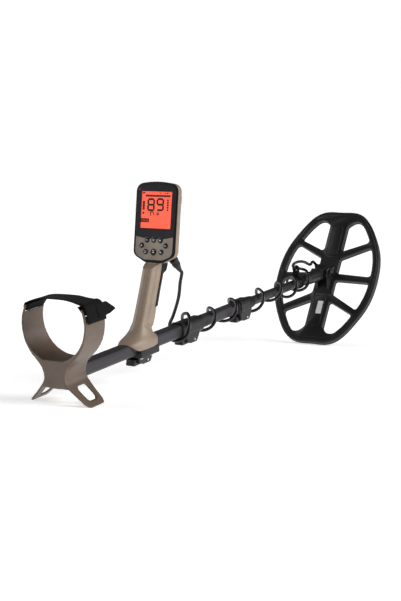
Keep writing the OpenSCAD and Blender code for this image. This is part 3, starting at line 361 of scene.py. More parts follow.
def curvePoints(points, steps):
    # a Catmull-Rom curve, as the CAD route is
    p = [Vector(q) for q in points]
    out = []
    for i in range(len(p) - 1):
        a, b, c, d = p[max(i - 1, 0)], p[i], p[i + 1], p[min(i + 2, len(p) - 1)]
        for k in range(steps):
            t = k / steps
            out.append(0.5 * (2 * b + (c - a) * t + (2 * a - 5 * b + 4 * c - d) * t * t
                              + (3 * b - a - 3 * c + d) * t ** 3))
    return out + [p[-1]]


def rectangle(left, low, right, high):
    return [(left, low), (right, low), (right, high), (left, high)]


def circle(y, z, r, count):
    turns = [2 * math.pi * k / count for k in range(count)]
    return [(y + r * math.cos(a), z + r * math.sin(a)) for a in turns]


def roundedPath(points, radii, steps):
    # a closed outline with its corners rounded, as the CAD rounds them
    out = []
    for i, c in enumerate(points):
        c, r = Vector(c), radii[i]
        a, b = Vector(points[i - 1]), Vector(points[(i + 1) % len(points)])
        u, v = (a - c).normalized(), (b - c).normalized()
        half = u.angle(v) / 2
        o = c + (u + v).normalized() * r / math.sin(half)
        p, q = c + u * r / math.tan(half) - o, c + v * r / math.tan(half) - o
        turn = p.angle(q)
        for k in range(steps + 1):
            t = k / steps
            out.append(o + (math.sin((1 - t) * turn) * p + math.sin(t * turn) * q) / math.sin(turn))
    return out


def squareOutline(width, r, steps=8):
    h = width / 2
    return roundedPath(rectangle(-h, -h, h, h), [r] * 4, steps)


def loftFaces(rings, n):
    # the side faces between rings of n corners each, and a cap at both ends
    faces = [(i * n + k, i * n + (k + 1) % n, (i + 1) * n + (k + 1) % n, (i + 1) * n + k)
             for i in range(rings - 1) for k in range(n)]
    return faces + [tuple(range(n - 1, -1, -1)), tuple((rings - 1) * n + k for k in range(n))]


def prism(name, outline, low, high, axis="x"):
    # an outline pushed along an axis, with its faces outwards
    n = len(outline)
    place = {"x": lambda p, h: (h, p[0], p[1]), "y": lambda p, h: (p[0], h, p[1]),
             "z": lambda p, h: (p[0], p[1], h)}[axis]
    verts = [place(p, h) for h in (low, high) for p in outline]
    faces = [tuple(range(n)), tuple(range(2 * n - 1, n - 1, -1))]
    faces += [(k, k + n, (k + 1) % n + n, (k + 1) % n) for k in range(n)]
    return outwards(meshOf(name, verts, faces, smooth=False))


def sweptTube(name, points, radius, sides):
    # a round tube along points, with its frame carried along without twist, and closed ends
    p = [Vector(q) for q in points]
    last = len(p) - 1
    heads = [(p[min(i + 1, last)] - p[max(i - 1, 0)]).normalized() for i in range(last + 1)]
    side = heads[0].orthogonal().normalized()
    verts = []
    for i in range(last + 1):
        side = (side - side.dot(heads[i]) * heads[i]).normalized()
        other = heads[i].cross(side)
        for k in range(sides):
            a = 2 * math.pi * k / sides
            verts.append(p[i] + radius * (math.cos(a) * side + math.sin(a) * other))
    return meshOf(name, verts, loftFaces(last + 1, sides), moved=shaftFrame)


def sweptRing(name, path, section):
    # a section of (sideways, up) pairs carried round a closed path that lies square to z
    p, up = [Vector(q) for q in path], Vector((0, 0, 1))
    n, m = len(p), len(section)
    verts, faces = [], []
    for i in range(n):
        side = up.cross(p[(i + 1) % n] - p[i - 1]).normalized()
        verts += [p[i] + side * s[0] + up * s[1] for s in section]
        faces += [(i * m + k, i * m + (k + 1) % m, (i + 1) % n * m + (k + 1) % m, (i + 1) % n * m + k)
                  for k in range(m)]
    return outwards(meshOf(name, verts, faces))


def beadSection(width, height, steps=6):
    # a low rounded bead with a flat foot sunk a little into what carries it
    foot = -0.4
    turns = [math.pi * k / steps for k in range(steps + 1)]
    crown = [(-width / 2 * math.cos(a), height * math.sin(a)) for a in turns]
    return [(-width / 2, foot)] + crown + [(width / 2, foot)]


hiddenNodes = set()


def keep(mesh, name, finish, body, replaced=(), moved=None, crease=None):
    # a finished mesh becomes a piece on a body, and may stand for CAD nodes
    hiddenNodes.update(replaced)
    if moved is not None:
        mesh.transform(moved)
    if crease is not None:
        creased(mesh, crease)
    made = linked(name, mesh)
    painted(mesh, finish)
    if body:
        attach(made, body)
    if replaced:
        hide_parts(*replaced)
    return made


# Cable: the route's points are the CAD route's, in the shaft's millimetres
cable = {"radius": 2.9, "sides": 14, "steps": 5, "plugStart": (15, -27, 10), "plugLean": 132, "plugYaw": -7,
         "bootEnd": 30.2, "pastBoot": 7,
         "podRun": [[319, -22, 88], [325, -15, 65], [331, -5, 44], [338, 7, 24], [343, 16, 12],
                    [345, 18.8, 2], [340, 17.5, -9.5], [334.5, 6, -16.5], [335, -8, -15.5], [340, -17, -9],
                    [347, -19.5, 3], [358, -14.5, 16]],
         # each turn: x and z of its first top, of its bottom, of its next top, half widths far and near
         "turns": [[375, 22.5, 422.7, -17, 454.5, 17, 24, 18.5],
                   [454.5, 17, 502.2, -16.5, 534, 18, 17.5, 17.5],
                   [534, 18, 604, -18.5, 641, 17.5, 23.2, 18.5],
                   [641, 17.5, 683.5, -13, 726, 16.5, 16, 15.5],
                   [726, 16.5, 760, -20, 785, 17, 16, 16],
                   [785, 17, 812, -16.5, 842, 20, 17.5, 17.5]],
         "runEndTurns": (1, 5),
         "coilRun": [[834, -13, 13], [841, -4, 20.5], [838, 5, 24], [827, 7.5, 26.5], [813, 5, 29],
                     [802, 4, 33], [795, 2.5, 38], [799, 0.5, 42], [812, -1, 43], [828, -2, 41],
                     [845, -1, 36.5], [863, 1.5, 30.5], [882, 6.5, 25.5], [902, 13, 23], [921, 19.5, 23.5],
                     [935, 22.6, 21.8]],
         "gland": (18, 23, 14.2)}
# each run's piece, CAD node and two bodies, and where it starts and stops bending from one body to the next
runs = [("podCable", "pod_cable_run", "handle", "upper_shaft", (285, 0, 100), (340, 0, 20)),
        ("upperCable", "upper_cable_run", "upper_shaft", "middle_shaft", (440, 0, 0), (532, 0, 0)),
        ("middleCable", "middle_cable_run", "middle_shaft", "lower_shaft", (648, 0, 0), (832, 0, 0)),
        ("lowerCable", "lower_cable_run", "lower_shaft", "coil", (848, 0, 40), (925, 0, 20))]


def turnPoints(turn):
    topX, topZ, lowX, lowZ, nextX, nextZ, far, near = turn
    out = []
    for k in range(8):
        a, late = math.radians(45 * k), k >= 4
        f = k / 4 - late
        x = lowX + (nextX - lowX) * f if late else topX + (lowX - topX) * f
        top = nextZ if late else topZ
        out.append((x, (near if late else far) * math.sin(a),
                    (top + lowZ) / 2 + (top - lowZ) / 2 * math.cos(a)))
    return out


lean, yaw = math.radians(cable["plugLean"]), math.radians(cable["plugYaw"])
plugAxis = Vector((math.sin(lean) * math.cos(yaw), math.sin(lean) * math.sin(yaw), math.cos(lean)))
route = [toShaft @ podFrame @ (Vector(cable["plugStart"]) + plugAxis * h)
         for h in (cable["bootEnd"], cable["bootEnd"] + cable["pastBoot"])]
route += [Vector(p) for p in cable["podRun"]]
marks = [0, len(route)]  # where one run ends and the next begins
for i, turn in enumerate(cable["turns"]):
    row = turnPoints(turn)
    if i == len(cable["turns"]) - 1:
        row.pop()
    route += [Vector(p) for p in row]
    if i in cable["runEndTurns"]:
        marks.append(len(route))
route += [Vector(p) for p in cable["coilRun"]] + [toShaft @ coilFrame @ Vector(cable["gland"])]
smoothRoute = curvePoints(route, cable["steps"])
cuts = [m * cable["steps"] for m in marks] + [len(smoothRoute) - 1]
for (name, node, first, second, start, end), a, b in zip(runs, cuts, cuts[1:]):
    tube = sweptTube(name, smoothRoute[a:b + 1], cable["radius"], cable["sides"])
    piece = keep(tube, name, "cable_jacket", None, [node])
    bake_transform(piece)
    length = sum((smoothRoute[i + 1] - smoothRoute[i]).length for i in range(a, b))
    print(name, "is", round(length), "mm long")


# Repeats are made by node trees: each is built here and run on a small mesh of points
def startTree(name, numbers):
    tree = bpy.data.node_groups.new(name, "GeometryNodeTree")
    tree.interface.new_socket(name="Geometry", in_out="INPUT", socket_type="NodeSocketGeometry")
    for key in numbers:
        tree.interface.new_socket(name=key, in_out="INPUT", socket_type="NodeSocketFloat")
    tree.interface.new_socket(name="Geometry", in_out="OUTPUT", socket_type="NodeSocketGeometry")
    given = tree.nodes.new("NodeGroupInput")
    return tree, given, *[given.outputs[key] for key in numbers]


def endTree(tree, result, finish):
    real = addNode(tree, "GeometryNodeRealizeInstances", links={"Geometry": result})
    coated = addNode(tree, "GeometryNodeSetMaterial", {"Material": finish}, {"Geometry": real})
    addNode(tree, "NodeGroupOutput", links={"Geometry": coated})
    return tree


def rodTree(name, finish, turn):
    # a short rod with domed ends at each point, turned one way
    tree, given, radius, length = startTree(name, ["Radius", "Length"])
    rod = addNode(tree, "GeometryNodeMeshCylinder", {"Vertices": 12}, {"Radius": radius, "Depth": length})
    ball = addNode(tree, "GeometryNodeMeshUVSphere", {"Segments": 12, "Rings": 6}, {"Radius": radius})
    both = addNode(tree, "GeometryNodeJoinGeometry")
    for share in (0.5, -0.5):
        end = addNode(tree, "ShaderNodeMath", {1: share}, {0: length}, operation="MULTIPLY")
        at = addNode(tree, "ShaderNodeCombineXYZ", links={"Z": end})
        cap = addNode(tree, "GeometryNodeTransform", links={"Geometry": ball, "Translation": at})
        wire(tree, both, {0: cap})
    wire(tree, both, {0: rod})
    placed = addNode(tree, "GeometryNodeInstanceOnPoints", {"Rotation": [math.radians(a) for a in turn]},
                     {"Points": given, "Instance": both})
    return endTree(tree, placed, finish)


def ringTree(name, finish):
    # a round bead at each point, as large as the point's own ringSize says
    tree, given, bead = startTree(name, ["Bead"])
    line = addNode(tree, "GeometryNodeCurvePrimitiveCircle", {"Resolution": 32, "Radius": 1.0})
    size = addNode(tree, "GeometryNodeInputNamedAttribute", {"Name": "ringSize"}, data_type="FLOAT")
    placed = addNode(tree, "GeometryNodeInstanceOnPoints", {},
                     {"Points": given, "Instance": line, "Scale": size})
    real = addNode(tree, "GeometryNodeRealizeInstances", links={"Geometry": placed})
    section = addNode(tree, "GeometryNodeCurvePrimitiveCircle", {"Resolution": 8}, {"Radius": bead})
    ring = addNode(tree, "GeometryNodeCurveToMesh", links={"Curve": real, "Profile Curve": section})
    return endTree(tree, ring, finish)


def stitchTree(name, finish):
    # stitches of one length along a path, with a gap between each and the next
    tree, given, spacing, stitch, width = startTree(name, ["Spacing", "Stitch", "Thread"])
    path = addNode(tree, "GeometryNodeMeshToCurve", links={"Mesh": given})
    spaced = addNode(tree, "GeometryNodeCurveToPoints", links={"Curve": path, "Length": spacing},
                     mode="LENGTH")
    thread = addNode(tree, "GeometryNodeMeshUVSphere", {"Segments": 8, "Rings": 6, "Radius": 0.5})
    shape = addNode(tree, "ShaderNodeCombineXYZ", links={"X": width, "Y": width, "Z": stitch})
    placed = addNode(tree, "GeometryNodeInstanceOnPoints", {}, {
        "Points": spaced, "Instance": thread, "Rotation": spaced.outputs["Rotation"], "Scale": shape})
    return endTree(tree, placed, finish)


def runTree(tree, mesh, values):
    holder = linked("holder", mesh)
    modifier = holder.modifiers.new("repeat", "NODES")
    modifier.node_group = tree
    for item in tree.interface.items_tree:
        if item.in_out == "INPUT" and item.name in values:
            modifier[item.identifier] = values[item.name]
    made = evaluated(holder)
    made.polygons.foreach_set("use_smooth", [True] * len(made.polygons))
    return made


def pointCloud(points, sizes=None):
    mesh = bpy.data.meshes.new("points")
    mesh.from_pydata([tuple(p) for p in points], [], [])
    if sizes:
        mesh.attributes.new("ringSize", "FLOAT", "POINT").data.foreach_set("value", sizes)
    return mesh


# The photograph's points, in its own frame of 401 by 601
points = {
    "objectLeft": (21.5, None), "objectRight": (380.7, None), "objectTop": (None, 180.8),
    "objectBottom": (None, 408.0), "lightSensor": (140.0, 189.0), "tensDigit": (151.1, 204.7),
    "unitsDigit": (160.2, 204.7), "signalBar": (158.0, 195.9), "modeBlock": (144.8, 220.2),
    "iconColumn": (167.7, 205.3), "bigKeySymbol": (153.2, 252.0), "lockSeal": (235.5, 307.6),
    "coilLabel": (319.4, 307.1), "upperPinEnd": (195.0, 339.2), "handlePinEnd": (148.0, 360.9),
    "lowerPinEnd": (247.4, 314.9), "padEdge": (332.5, 257.2)}
bpy.context.view_layer.update()
eye = camera.matrix_world.copy()
longSide = max(view["width"], view["height"])
centreX = view["width"] / 2 - camera.data.shift_x * longSide
centreY = view["height"] / 2 + camera.data.shift_y * longSide
focal = longSide * camera.data.lens / camera.data.sensor_width


def treeOf(meshes, moved=None):
    work = bmesh.new()
    for mesh in meshes:
        work.from_mesh(mesh)
    if moved is not None:
        work.transform(moved)
    tree = BVHTree.FromBMesh(work)
    work.free()
    return tree


def placedOn(pixel, carrier):
    # where the ray of an image point meets its carrier, or the place on it nearest the ray
    start, aim = eye.translation, eye.to_3x3() @ Vector((pixel[0] - centreX, centreY - pixel[1], -focal))
    aim.normalize()
    hit = treeOf([carrier]).ray_cast(start, aim)[0]
    return hit or min((v.co.copy() for v in carrier.vertices), key=lambda c: (c - start).cross(aim).length)


def report(name, mesh, *blockers):
    # casts a ray from the eye towards each corner of a piece, past what blocks it, and keeps none of the hits
    tree = treeOf([mesh, *blockers])
    for v in mesh.vertices:
        ray = v.co - eye.translation
        tree.ray_cast(eye.translation, ray.normalized(), ray.length - 0.3 * mm)[0] is None


# Pieces whose shape is the CAD's and whose edges are eased: radius in millimetres
eased = {
    "handle_clamp": 0.6, "upper_cam_lever": 0.8, "lower_cam_lever": 0.8, "handle_cam_lever": 0.8,
    "pod_gasket": 0.3, "rear_housing": 1.0, "back_cover": 0.5, "yoke": 0.6, "coil_upper_shell": 2.0,
    "coil_skid_plate": 0.8, "pivot_bolt": 0.6, "pivot_nut": 0.7, "cable_plug": 0.5, "cable_tie": 0.6,
    "strain_relief": 0.4, "upper_cam_pin": 0.3, "lower_cam_pin": 0.3, "handle_cam_pin": 0.3,
    "pod_screws": 0.2, "armrest_screws": 0.3, "clamp_screws": 0.2, "grip_screws": 0.2,
    "power_button": 0.3, "tube_end_cap": 0.3}
dressed = {}
for node, radius in eased.items():
    dressed[node] = keep(easedNode(node, radius), node + "Eased", slotOf[node], bodyOf[node], [node])
print("edges eased:", len(eased))

# Mouldings whose ribs, lugs and walls run into each other: voxel size and rounds of smoothing
melted = {"armrest": ("armrestMoulding", 0.85, 9), "upper_cam_collar": ("upperCollarMoulding", 0.45, 4),
          "lower_cam_collar": ("lowerCollarMoulding", 0.45, 4)}
for node, (name, voxel, rounds) in melted.items():
    made = withModifiers(welded(node), ("REMESH", {"mode": "VOXEL", "voxel_size": voxel * mm}),
                         ("SMOOTH", {"factor": 0.5, "iterations": rounds}), ("DECIMATE", {"ratio": 0.5}))
    dressed[node] = keep(made, name, slotOf[node], bodyOf[node], [node], crease=80)
    print(name, "melted:", len(made.polygons), "faces")

# Strap: woven webbing that goes through both slots, with a flap and a pointed tail outside the right one
strap = {"width": 38, "from": 5, "thick": 1.7, "edge": 1, "slotZ": 98.5, "tipZ": 107, "bowlZ": 80,
         "bowlR": 58, "outside": 1.1, "inside": -4.1, "steps": 6, "across": 10, "camber": 0.35, "spread": 6,
         "spreadFrom": (30, 99), "spreadOver": (14, 5), "tuck": (43.5, 2.6),
         "over": [(52, 1.5), (47, 3.8), (33, 8.3), (18, 9.6), (0, 10), (-18, 9.6), (-32, 7.6), (-44, 5.6),
                  (-51, 3.4)],
         "flapWider": 7, "flapThick": 1.9, "flapStart": [(-45.5, 113.8), (-50.5, 112.4), (-54.6, 109)],
         "stitchSpacing": 2.6, "stitch": 1.7, "thread": 0.5, "stitchRows": (7.5, 41), "stitchOut": 3,
         "stitchAngles": (161.5, 164.5, 167.5, 170.5, 173.5)}
tailShape = {"corners": [(-9, -1), (19, 1), (36, 5), (18, 18.5), (-9, 18)], "radii": [1, 1, 1.2, 3, 1],
             "at": (37, 91), "thick": 1.5, "y": -61.6, "lean": 0.33, "flat": (0.045, 0.0195)}


def eased01(t):
    t = min(max(t, 0), 1)
    return t * t * (3 - 2 * t)


def bowlPoint(r, angle):
    return (r * math.cos(math.radians(angle)), strap["bowlZ"] + r * math.sin(math.radians(angle)))


def bandWidth(y, z):
    # webbing is drawn in where it goes through a slot and spreads over the tips of the wings
    (fromY, fromZ), (overY, overZ) = strap["spreadFrom"], strap["spreadOver"]
    spread = eased01((z - fromZ) / overZ) * eased01((abs(y) - fromY) / overY)
    return strap["width"] + strap["edge"] + strap["spread"] * spread


def bandMesh(name, path, middle, thick, widthAt):
    # a woven band along a path of (y, z), a little crowned, its edges rolled, with a flat map for the weave
    p = [Vector((0, a, b)) for a, b in path]
    n, across, lengths = len(p), strap["across"], [0.0]
    for i in range(1, n):
        lengths.append(lengths[-1] + (p[i] - p[i - 1]).length)
    loops = []
    for i in range(n):
        along = (p[min(i + 1, n - 1)] - p[max(i - 1, 0)]).normalized()
        out = Vector((1, 0, 0)).cross(along)
        wide = widthAt(p[i].y, p[i].z)
        for side in (1, -1):
            row = []
            for k in range(across + 1):
                f = k / across * 2 - 1
                edge = 1 - abs(f) ** 12 * 0.75
                lift = side * thick / 2 * edge - strap["camber"] * f * f
                row.append((p[i] + out * lift + Vector((middle + wide / 2 * f, 0, 0)),
                            (k / across * wide * mm, lengths[i] * mm)))
            if side > 0:
                loops.append(row)
            else:
                loops[-1] = loops[-1] + row[::-1]
    verts = [v for loop in loops for v, _ in loop]
    mesh = outwards(meshOf(name, verts, loftFaces(n, len(loops[0])), moved=shaftFrame))
    weave = mesh.uv_layers.new(name="weave")
    flat = [uv for loop in loops for _, uv in loop]
    for loop in mesh.loops:
        weave.data[loop.index].uv = flat[loop.vertex_index]
    return mesh, lengths[-1]


def dense(path, steps):
    return [(p[1], p[2]) for p in curvePoints([(0, a, b) for a, b in path], steps)]


slotAngle, tipAngle = [math.degrees(math.asin((z - strap["bowlZ"]) / strap["bowlR"]))
                       for z in (strap["slotZ"], strap["tipZ"])]
nearR, farR = strap["bowlR"] + strap["outside"], strap["bowlR"] + strap["inside"]
midAngle = (tipAngle + slotAngle) / 2
# from inside the wing, down through its slot and up its outside
wrap = [bowlPoint(farR, tipAngle - 1), bowlPoint(farR, midAngle), bowlPoint(farR + 0.6, slotAngle + 0.8),
        bowlPoint((farR + nearR) / 2, slotAngle - 0.4), bowlPoint(nearR - 0.6, slotAngle + 0.8),
        bowlPoint(nearR, midAngle), bowlPoint(nearR, tipAngle)]
over = [(y, strap["tipZ"] + h) for y, h in strap["over"]]
# the end is tucked up under the band, so the tip of the wing is wrapped all round
tuck = [(strap["tuck"][0], strap["tipZ"] + strap["tuck"][1])]
bandPath = dense(tuck + wrap + over + [(-y, z) for y, z in wrap[::-1] + tuck], strap["steps"])
strapMiddle = strap["from"] + strap["width"] / 2
flapWidth = strap["width"] + strap["flapWider"]
flapPath = strap["flapStart"] + [bowlPoint(nearR + 1.85, 177 - slotAngle), bowlPoint(nearR + 1.9, 168),
                                 bowlPoint(nearR + 1.9, 175)]
bands = {"armStrap": (bandPath, strapMiddle, strap["thick"], bandWidth, strap["width"], ["arm_strap"],
                      "armrestMoulding"),
         "strapFlap": (dense(flapPath, 5), strapMiddle + 0.5, strap["flapThick"], lambda y, z: flapWidth,
                       flapWidth, [], "armStrap")}
for name, (path, middle, thick, widthAt, flatWidth, replaced, under) in bands.items():
    mesh, length = bandMesh(name, path, middle, thick, widthAt)
    band = keep(mesh, name, "strap_webbing", "upper_shaft", replaced)
    print(name, "is", round(length), "mm long")
tailX, tailZ = tailShape["at"]
tailOutline = roundedPath(tailShape["corners"], tailShape["radii"], 4)
tailMesh = prism("strapTail", [(tailX + x, tailZ + z) for x, z in tailOutline], -tailShape["thick"] / 2,
                 tailShape["thick"] / 2, "y")
for v in tailMesh.vertices:
    v.co.y += tailShape["y"] + (v.co.z - tailZ) * tailShape["lean"]  # it leans as the wing does
tailMesh.transform(shaftFrame)
tailMap = tailMesh.uv_layers.new(name="weave")
for loop in tailMesh.loops:
    tailMap.data[loop.index].uv = tailMesh.vertices[loop.vertex_index].co.xz
tail = keep(tailMesh, "strapTail", "strap_webbing", "upper_shaft")

# Stitches: a row of lockstitch near each edge of the flap
stitches = stitchTree("lockstitch", finishes["cable_jacket"])
rows = []
for x in strap["stitchRows"]:
    row = [(x, *bowlPoint(nearR + strap["stitchOut"], a)) for a in strap["stitchAngles"]]
    line = bpy.data.meshes.new("line")
    line.from_pydata(row, [(i, i + 1) for i in range(len(row) - 1)], [])
    rows.append(runTree(stitches, line, {"Spacing": strap["stitchSpacing"], "Stitch": strap["stitch"],
                                         "Thread": strap["thread"]}))
keep(joined("stitches", rows), "flapStitches", "strap_webbing", "upper_shaft", moved=shaftFrame, crease=80)
print("strap stitched")

# Grip: one loft for the two half shells, with a long valley down each side for the palm
grip = {"sides": 96, "rows": 96, "low": -1, "high": 136, "a": 20.5, "b": 14.4, "power": 0.85, "x": 211,
        "valley": 3.6, "valleyAt": 114, "valleyWide": 17, "hookTo": 58, "hookHigh": 37, "hookLow": 25,
        "hookWiden": 0.5, "fade": (6, 14), "smooth": 1.4, "top": 130, "bottom": 21, "seam": 0.45,
        "archTop": 174, "archFoot": 196, "boreWidth": 22.8, "boreCorner": 6.2,
        "shelf": [(221, 112), (251, 120.5), (272.5, 128), (372.5, 110), (372.5, 200), (221, 200)],
        "insertX": 5, "insertLow": 57, "insertProud": 1.6}
# height, forward shift, and growth of the half length and half width
gripRows = [(-1, 7, 24.5, 7.6), (9, 7, 24.5, 7.6), (13, 7.8, 21.5, 6.8), (17, 9.3, 13.5, 4.4),
            (21, 12, 6.5, 2.4), (27, 17.6, 2.8, 1.2), (40, 26.4, 1, 0.6), (60, 35.3, 0.3, 0.3),
            (82, 44.8, 0, 0), (104, 54.4, 0, 0), (118, 60, 0, 0), (136, 66.5, -1, -0.6)]
finger = {"bump": (290, 117), "bumpR": 8, "bumpHalf": 9, "sides": 28,
          "bumpRows": [(-1, 0.86), (-0.9, 0.96), (-0.7, 1), (0.7, 1), (0.9, 0.96), (1, 0.86)],
          "rest": [(272, 92), (281, 106), (297, 112), (303, 124), (286, 127), (272, 127)],
          "restRadii": [2, 6, 5, 2, 1, 1], "restHalf": 10.5, "restEdge": 2.5}


def gripRow(z):
    i = max(j for j in range(len(gripRows) - 1) if gripRows[j][0] <= z)
    a, b = gripRows[i], gripRows[i + 1]
    t = (z - a[0]) / (b[0] - a[0])
    return [a[k] + (b[k] - a[k]) * t for k in range(4)]


def gripSkin(grow, low, shaped=True):
    sides, count, high, power = grip["sides"], grip["rows"], grip["high"], grip["power"]
    verts = []
    for i in range(count + 1):
        z = low + (high - low) * i / count
        near = [gripRow(min(max(z + s, grip["low"]), high)) for s in (-grip["smooth"], 0, grip["smooth"])]
        row = [sum(r[k] for r in near) / 3 for k in range(4)]
        hook = eased01((grip["hookHigh"] - z) / (grip["hookHigh"] - grip["hookLow"]))
        at = grip["valleyAt"] + (grip["hookTo"] - grip["valleyAt"]) * hook
        wide = grip["valleyWide"] * (1 + grip["hookWiden"] * hook)
        fadeIn, fadeOut = (z - grip["bottom"]) / grip["fade"][0], (grip["top"] - z) / grip["fade"][1]
        deep = grip["valley"] * eased01(fadeIn) * eased01(fadeOut)
        for k in range(sides):
            t = 360 * k / sides
            c, s = math.cos(math.radians(t)), math.sin(math.radians(t))
            a, b = grip["a"] + row[2] + grow, grip["b"] + row[3] + grow
            if shaped:
                away = abs((t if t < 180 else 360 - t) - at) / wide
                dip = deep * math.exp(-away * away)
                a -= dip * abs(c) + grip["seam"] * (k == sides // 2)
                b -= dip
            verts.append((grip["x"] + row[1] + a * math.copysign(abs(c) ** power, c),
                          b * math.copysign(abs(s) ** power, s), z))
    return meshOf("skin", verts, loftFaces(count + 1, sides))


def sideCut(outline):
    return prism("cut", outline, -40, 40, "y")


def insertRegion(back):
    front = [(gripRow(z)[1] + grip["x"] + grip["insertX"] - back, z) for z in (60, 82, 104, 118, 136)]
    return sideCut(front + [(360, 136), (360, 60)])


shelf = sideCut(grip["shelf"])
tubeBore = prism("tubeBore", squareOutline(grip["boreWidth"], grip["boreCorner"]), 140, 300)
# the rear of the base is cut back under its arch, which shows the tube's side
rearCut = sideCut([(140, 11.6), (grip["archTop"], 11.6), (grip["archFoot"], -3), (140, -3)])
shell = carved(gripSkin(0, grip["low"]), [tubeBore, shelf, insertRegion(0), rearCut])
keep(shell, "gripShell", "tan_plastic", "handle", ["grip_left", "grip_right"], moved=shaftFrame, crease=32)
skin = gripSkin(grip["insertProud"], grip["insertLow"], False)
insert = carved(carved(skin, [insertRegion(-0.1)], "INTERSECT"), [shelf])
keep(insert, "gripInsert", "black_rubber", "handle", ["grip_front_insert"], moved=shaftFrame, crease=32)
(bumpX, bumpZ), bumpR = finger["bump"], finger["bumpR"]
verts = [(x, h * finger["bumpHalf"], z) for h, r in finger["bumpRows"]
         for x, z in circle(bumpX, bumpZ, bumpR * r, finger["sides"])]
bump = outwards(meshOf("bump", verts, loftFaces(len(finger["bumpRows"]), finger["sides"]), moved=shaftFrame))
keep(bump, "fingerBump", "black_rubber", "handle", crease=50)
wedge = prism("wedge", roundedPath(finger["rest"], finger["restRadii"], 5), -finger["restHalf"],
              finger["restHalf"], "y")
keep(rounded(wedge, finger["restEdge"], 1.2, 3), "fingerRest", "black_rubber", "handle", moved=shaftFrame)
print("grip lofted:", len(shell.polygons), "faces")

# Display: a dark border with a rectangular opening, the lit panel behind it and its segments
display = {"openW": 58.4, "openH": 60.4, "centreZ": 86, "corner": 0.8, "face": 1.2, "back": 4.2, "ink": 0.07,
           "digitW": 14.6, "digitH": 21.3, "stroke": 3.3, "gap": 0.12, "tip": 0.4, "modePitch": 5.7,
           "sensorR": 1.3, "bezelWider": 1, "bezelInset": 2.2, "seatInset": 4.35, "windowInset": 4.5}
left, top = display["openW"] / 2, display["centreZ"] + display["openH"] / 2
low = display["centreZ"] - display["openH"] / 2
opening = prism("opening", roundedPath(rectangle(-left, low, left, top), [display["corner"]] * 4, 3), -3, 5)


def podOutline(inset):
    w, h = 40 - inset, 134 - inset
    return roundedPath([(-w, 12), (-w, h - 6), (0, h), (w, h - 6), (w, 12), (17, inset), (-17, inset)],
                       [12, 14 - inset, 150, 14 - inset, 12, 12, 12], 10)


keypad = {"places": [(13.6, 36.4), (0.7, 36.8), (-12.3, 36.6), (23.4, 27.6), (-22.4, 28.2), (15.3, 17.4),
                     (0.4, 17.4), (-14.6, 17.8)], "big": 6, "clear": 0.45, "beadOut": 0.75, "bead": 0.26,
          "beadX": -0.42, "arcR": 150, "arcLow": 38.8, "joint": 0.5,
          "symbol": (0.8, -2.05, -1.55)}  # a symbol's scale, and where it starts and ends
keyR = []
for i in range(len(keypad["places"])):
    near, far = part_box("key_%d" % (i + 1))
    keyR.append((far[1] - near[1]) / 2 / mm)
shafts = [prism("keyHole", circle(y, z, r + keypad["clear"], 32), -2, 9)
          for (y, z), r in zip(keypad["places"], keyR)]


def hangingArc(grow):
    # everything above the arc that hangs between the window and the keypad
    return prism("arc", circle(0, keypad["arcLow"] + keypad["arcR"], keypad["arcR"] + grow, 180), -5, 6)


window = carved(prism("window", podOutline(display["windowInset"]), 0.02, 1.5), [hangingArc(0)], "INTERSECT")
window = rounded(carved(window, [opening, *shafts[:3]]), 0.4)
keep(window, "windowBorder", "screen_window", "handle", ["display_lens"], moved=podFrame)
wide = display["bezelWider"]
seat = prism("seat", podOutline(display["seatInset"]), -2, 1.9)
wideOpening = prism("wideOpening", rectangle(-left - wide, low - wide, left + wide, top + wide), -3, 9)
bezel = carved(prism("bezel", podOutline(display["bezelInset"]), 0, 6), [seat, wideOpening, *shafts])
bezel = rounded(bezel, 0.6, segments=3)
keep(bezel, "bezelRim", "black_plastic", "handle", ["front_bezel"], moved=podFrame)
film = prism("film", podOutline(display["windowInset"]), -0.4, 1.2)
film = carved(film, [hangingArc(keypad["joint"]), *shafts])
keep(rounded(film, 0.25), "keypadFilm", "keypad_film", "handle", ["keypad_panel"], moved=podFrame)
panel = prism("panel", rectangle(-left + 0.1, low + 0.1, left - 0.1, top - 0.1), display["face"],
              display["back"])
keep(panel, "litPanel", "lit_display", "handle", ["display_panel"], moved=podFrame)


def onPod(pixel, carrier):
    p = toPod @ placedOn(pixel, carrier)
    return p.y, p.z


def inked(name, outlines, high=display["face"], thick=display["ink"]):
    made = joined(name, [prism("ink", o, high - thick, high) for o in outlines])
    made.transform(podFrame)
    return made


def bar(y, z, w, h, tip=0.0):
    # a segment lying down, or standing if it is taller than wide, with pointed ends
    long, half = max(w, h) / 2, min(w, h) / 2
    outline = [(-long, 0), (tip - long, -half), (long - tip, -half), (long, 0), (long - tip, half),
               (tip - long, half)]
    return [(y + p, z + q) if w >= h else (y - q, z + p) for p, q in outline]


def digit(y, z, lit):
    w, h, s, gap = display["digitW"], display["digitH"], display["stroke"], display["gap"]
    side, part = w / 2 - s / 2, h / 2 - s / 2
    lying, standing = (w - s - 2 * gap, s), (s, part - 2 * gap)
    # y runs to the image's left, so the left strokes have the larger y
    places = {"a": (0, part, lying), "g": (0, 0, lying), "d": (0, -part, lying),
              "f": (side, part / 2, standing), "b": (-side, part / 2, standing),
              "e": (side, -part / 2, standing), "c": (-side, -part / 2, standing)}
    return [bar(y + places[k][0], z + places[k][1], *places[k][2], display["tip"] * s) for k in lit]


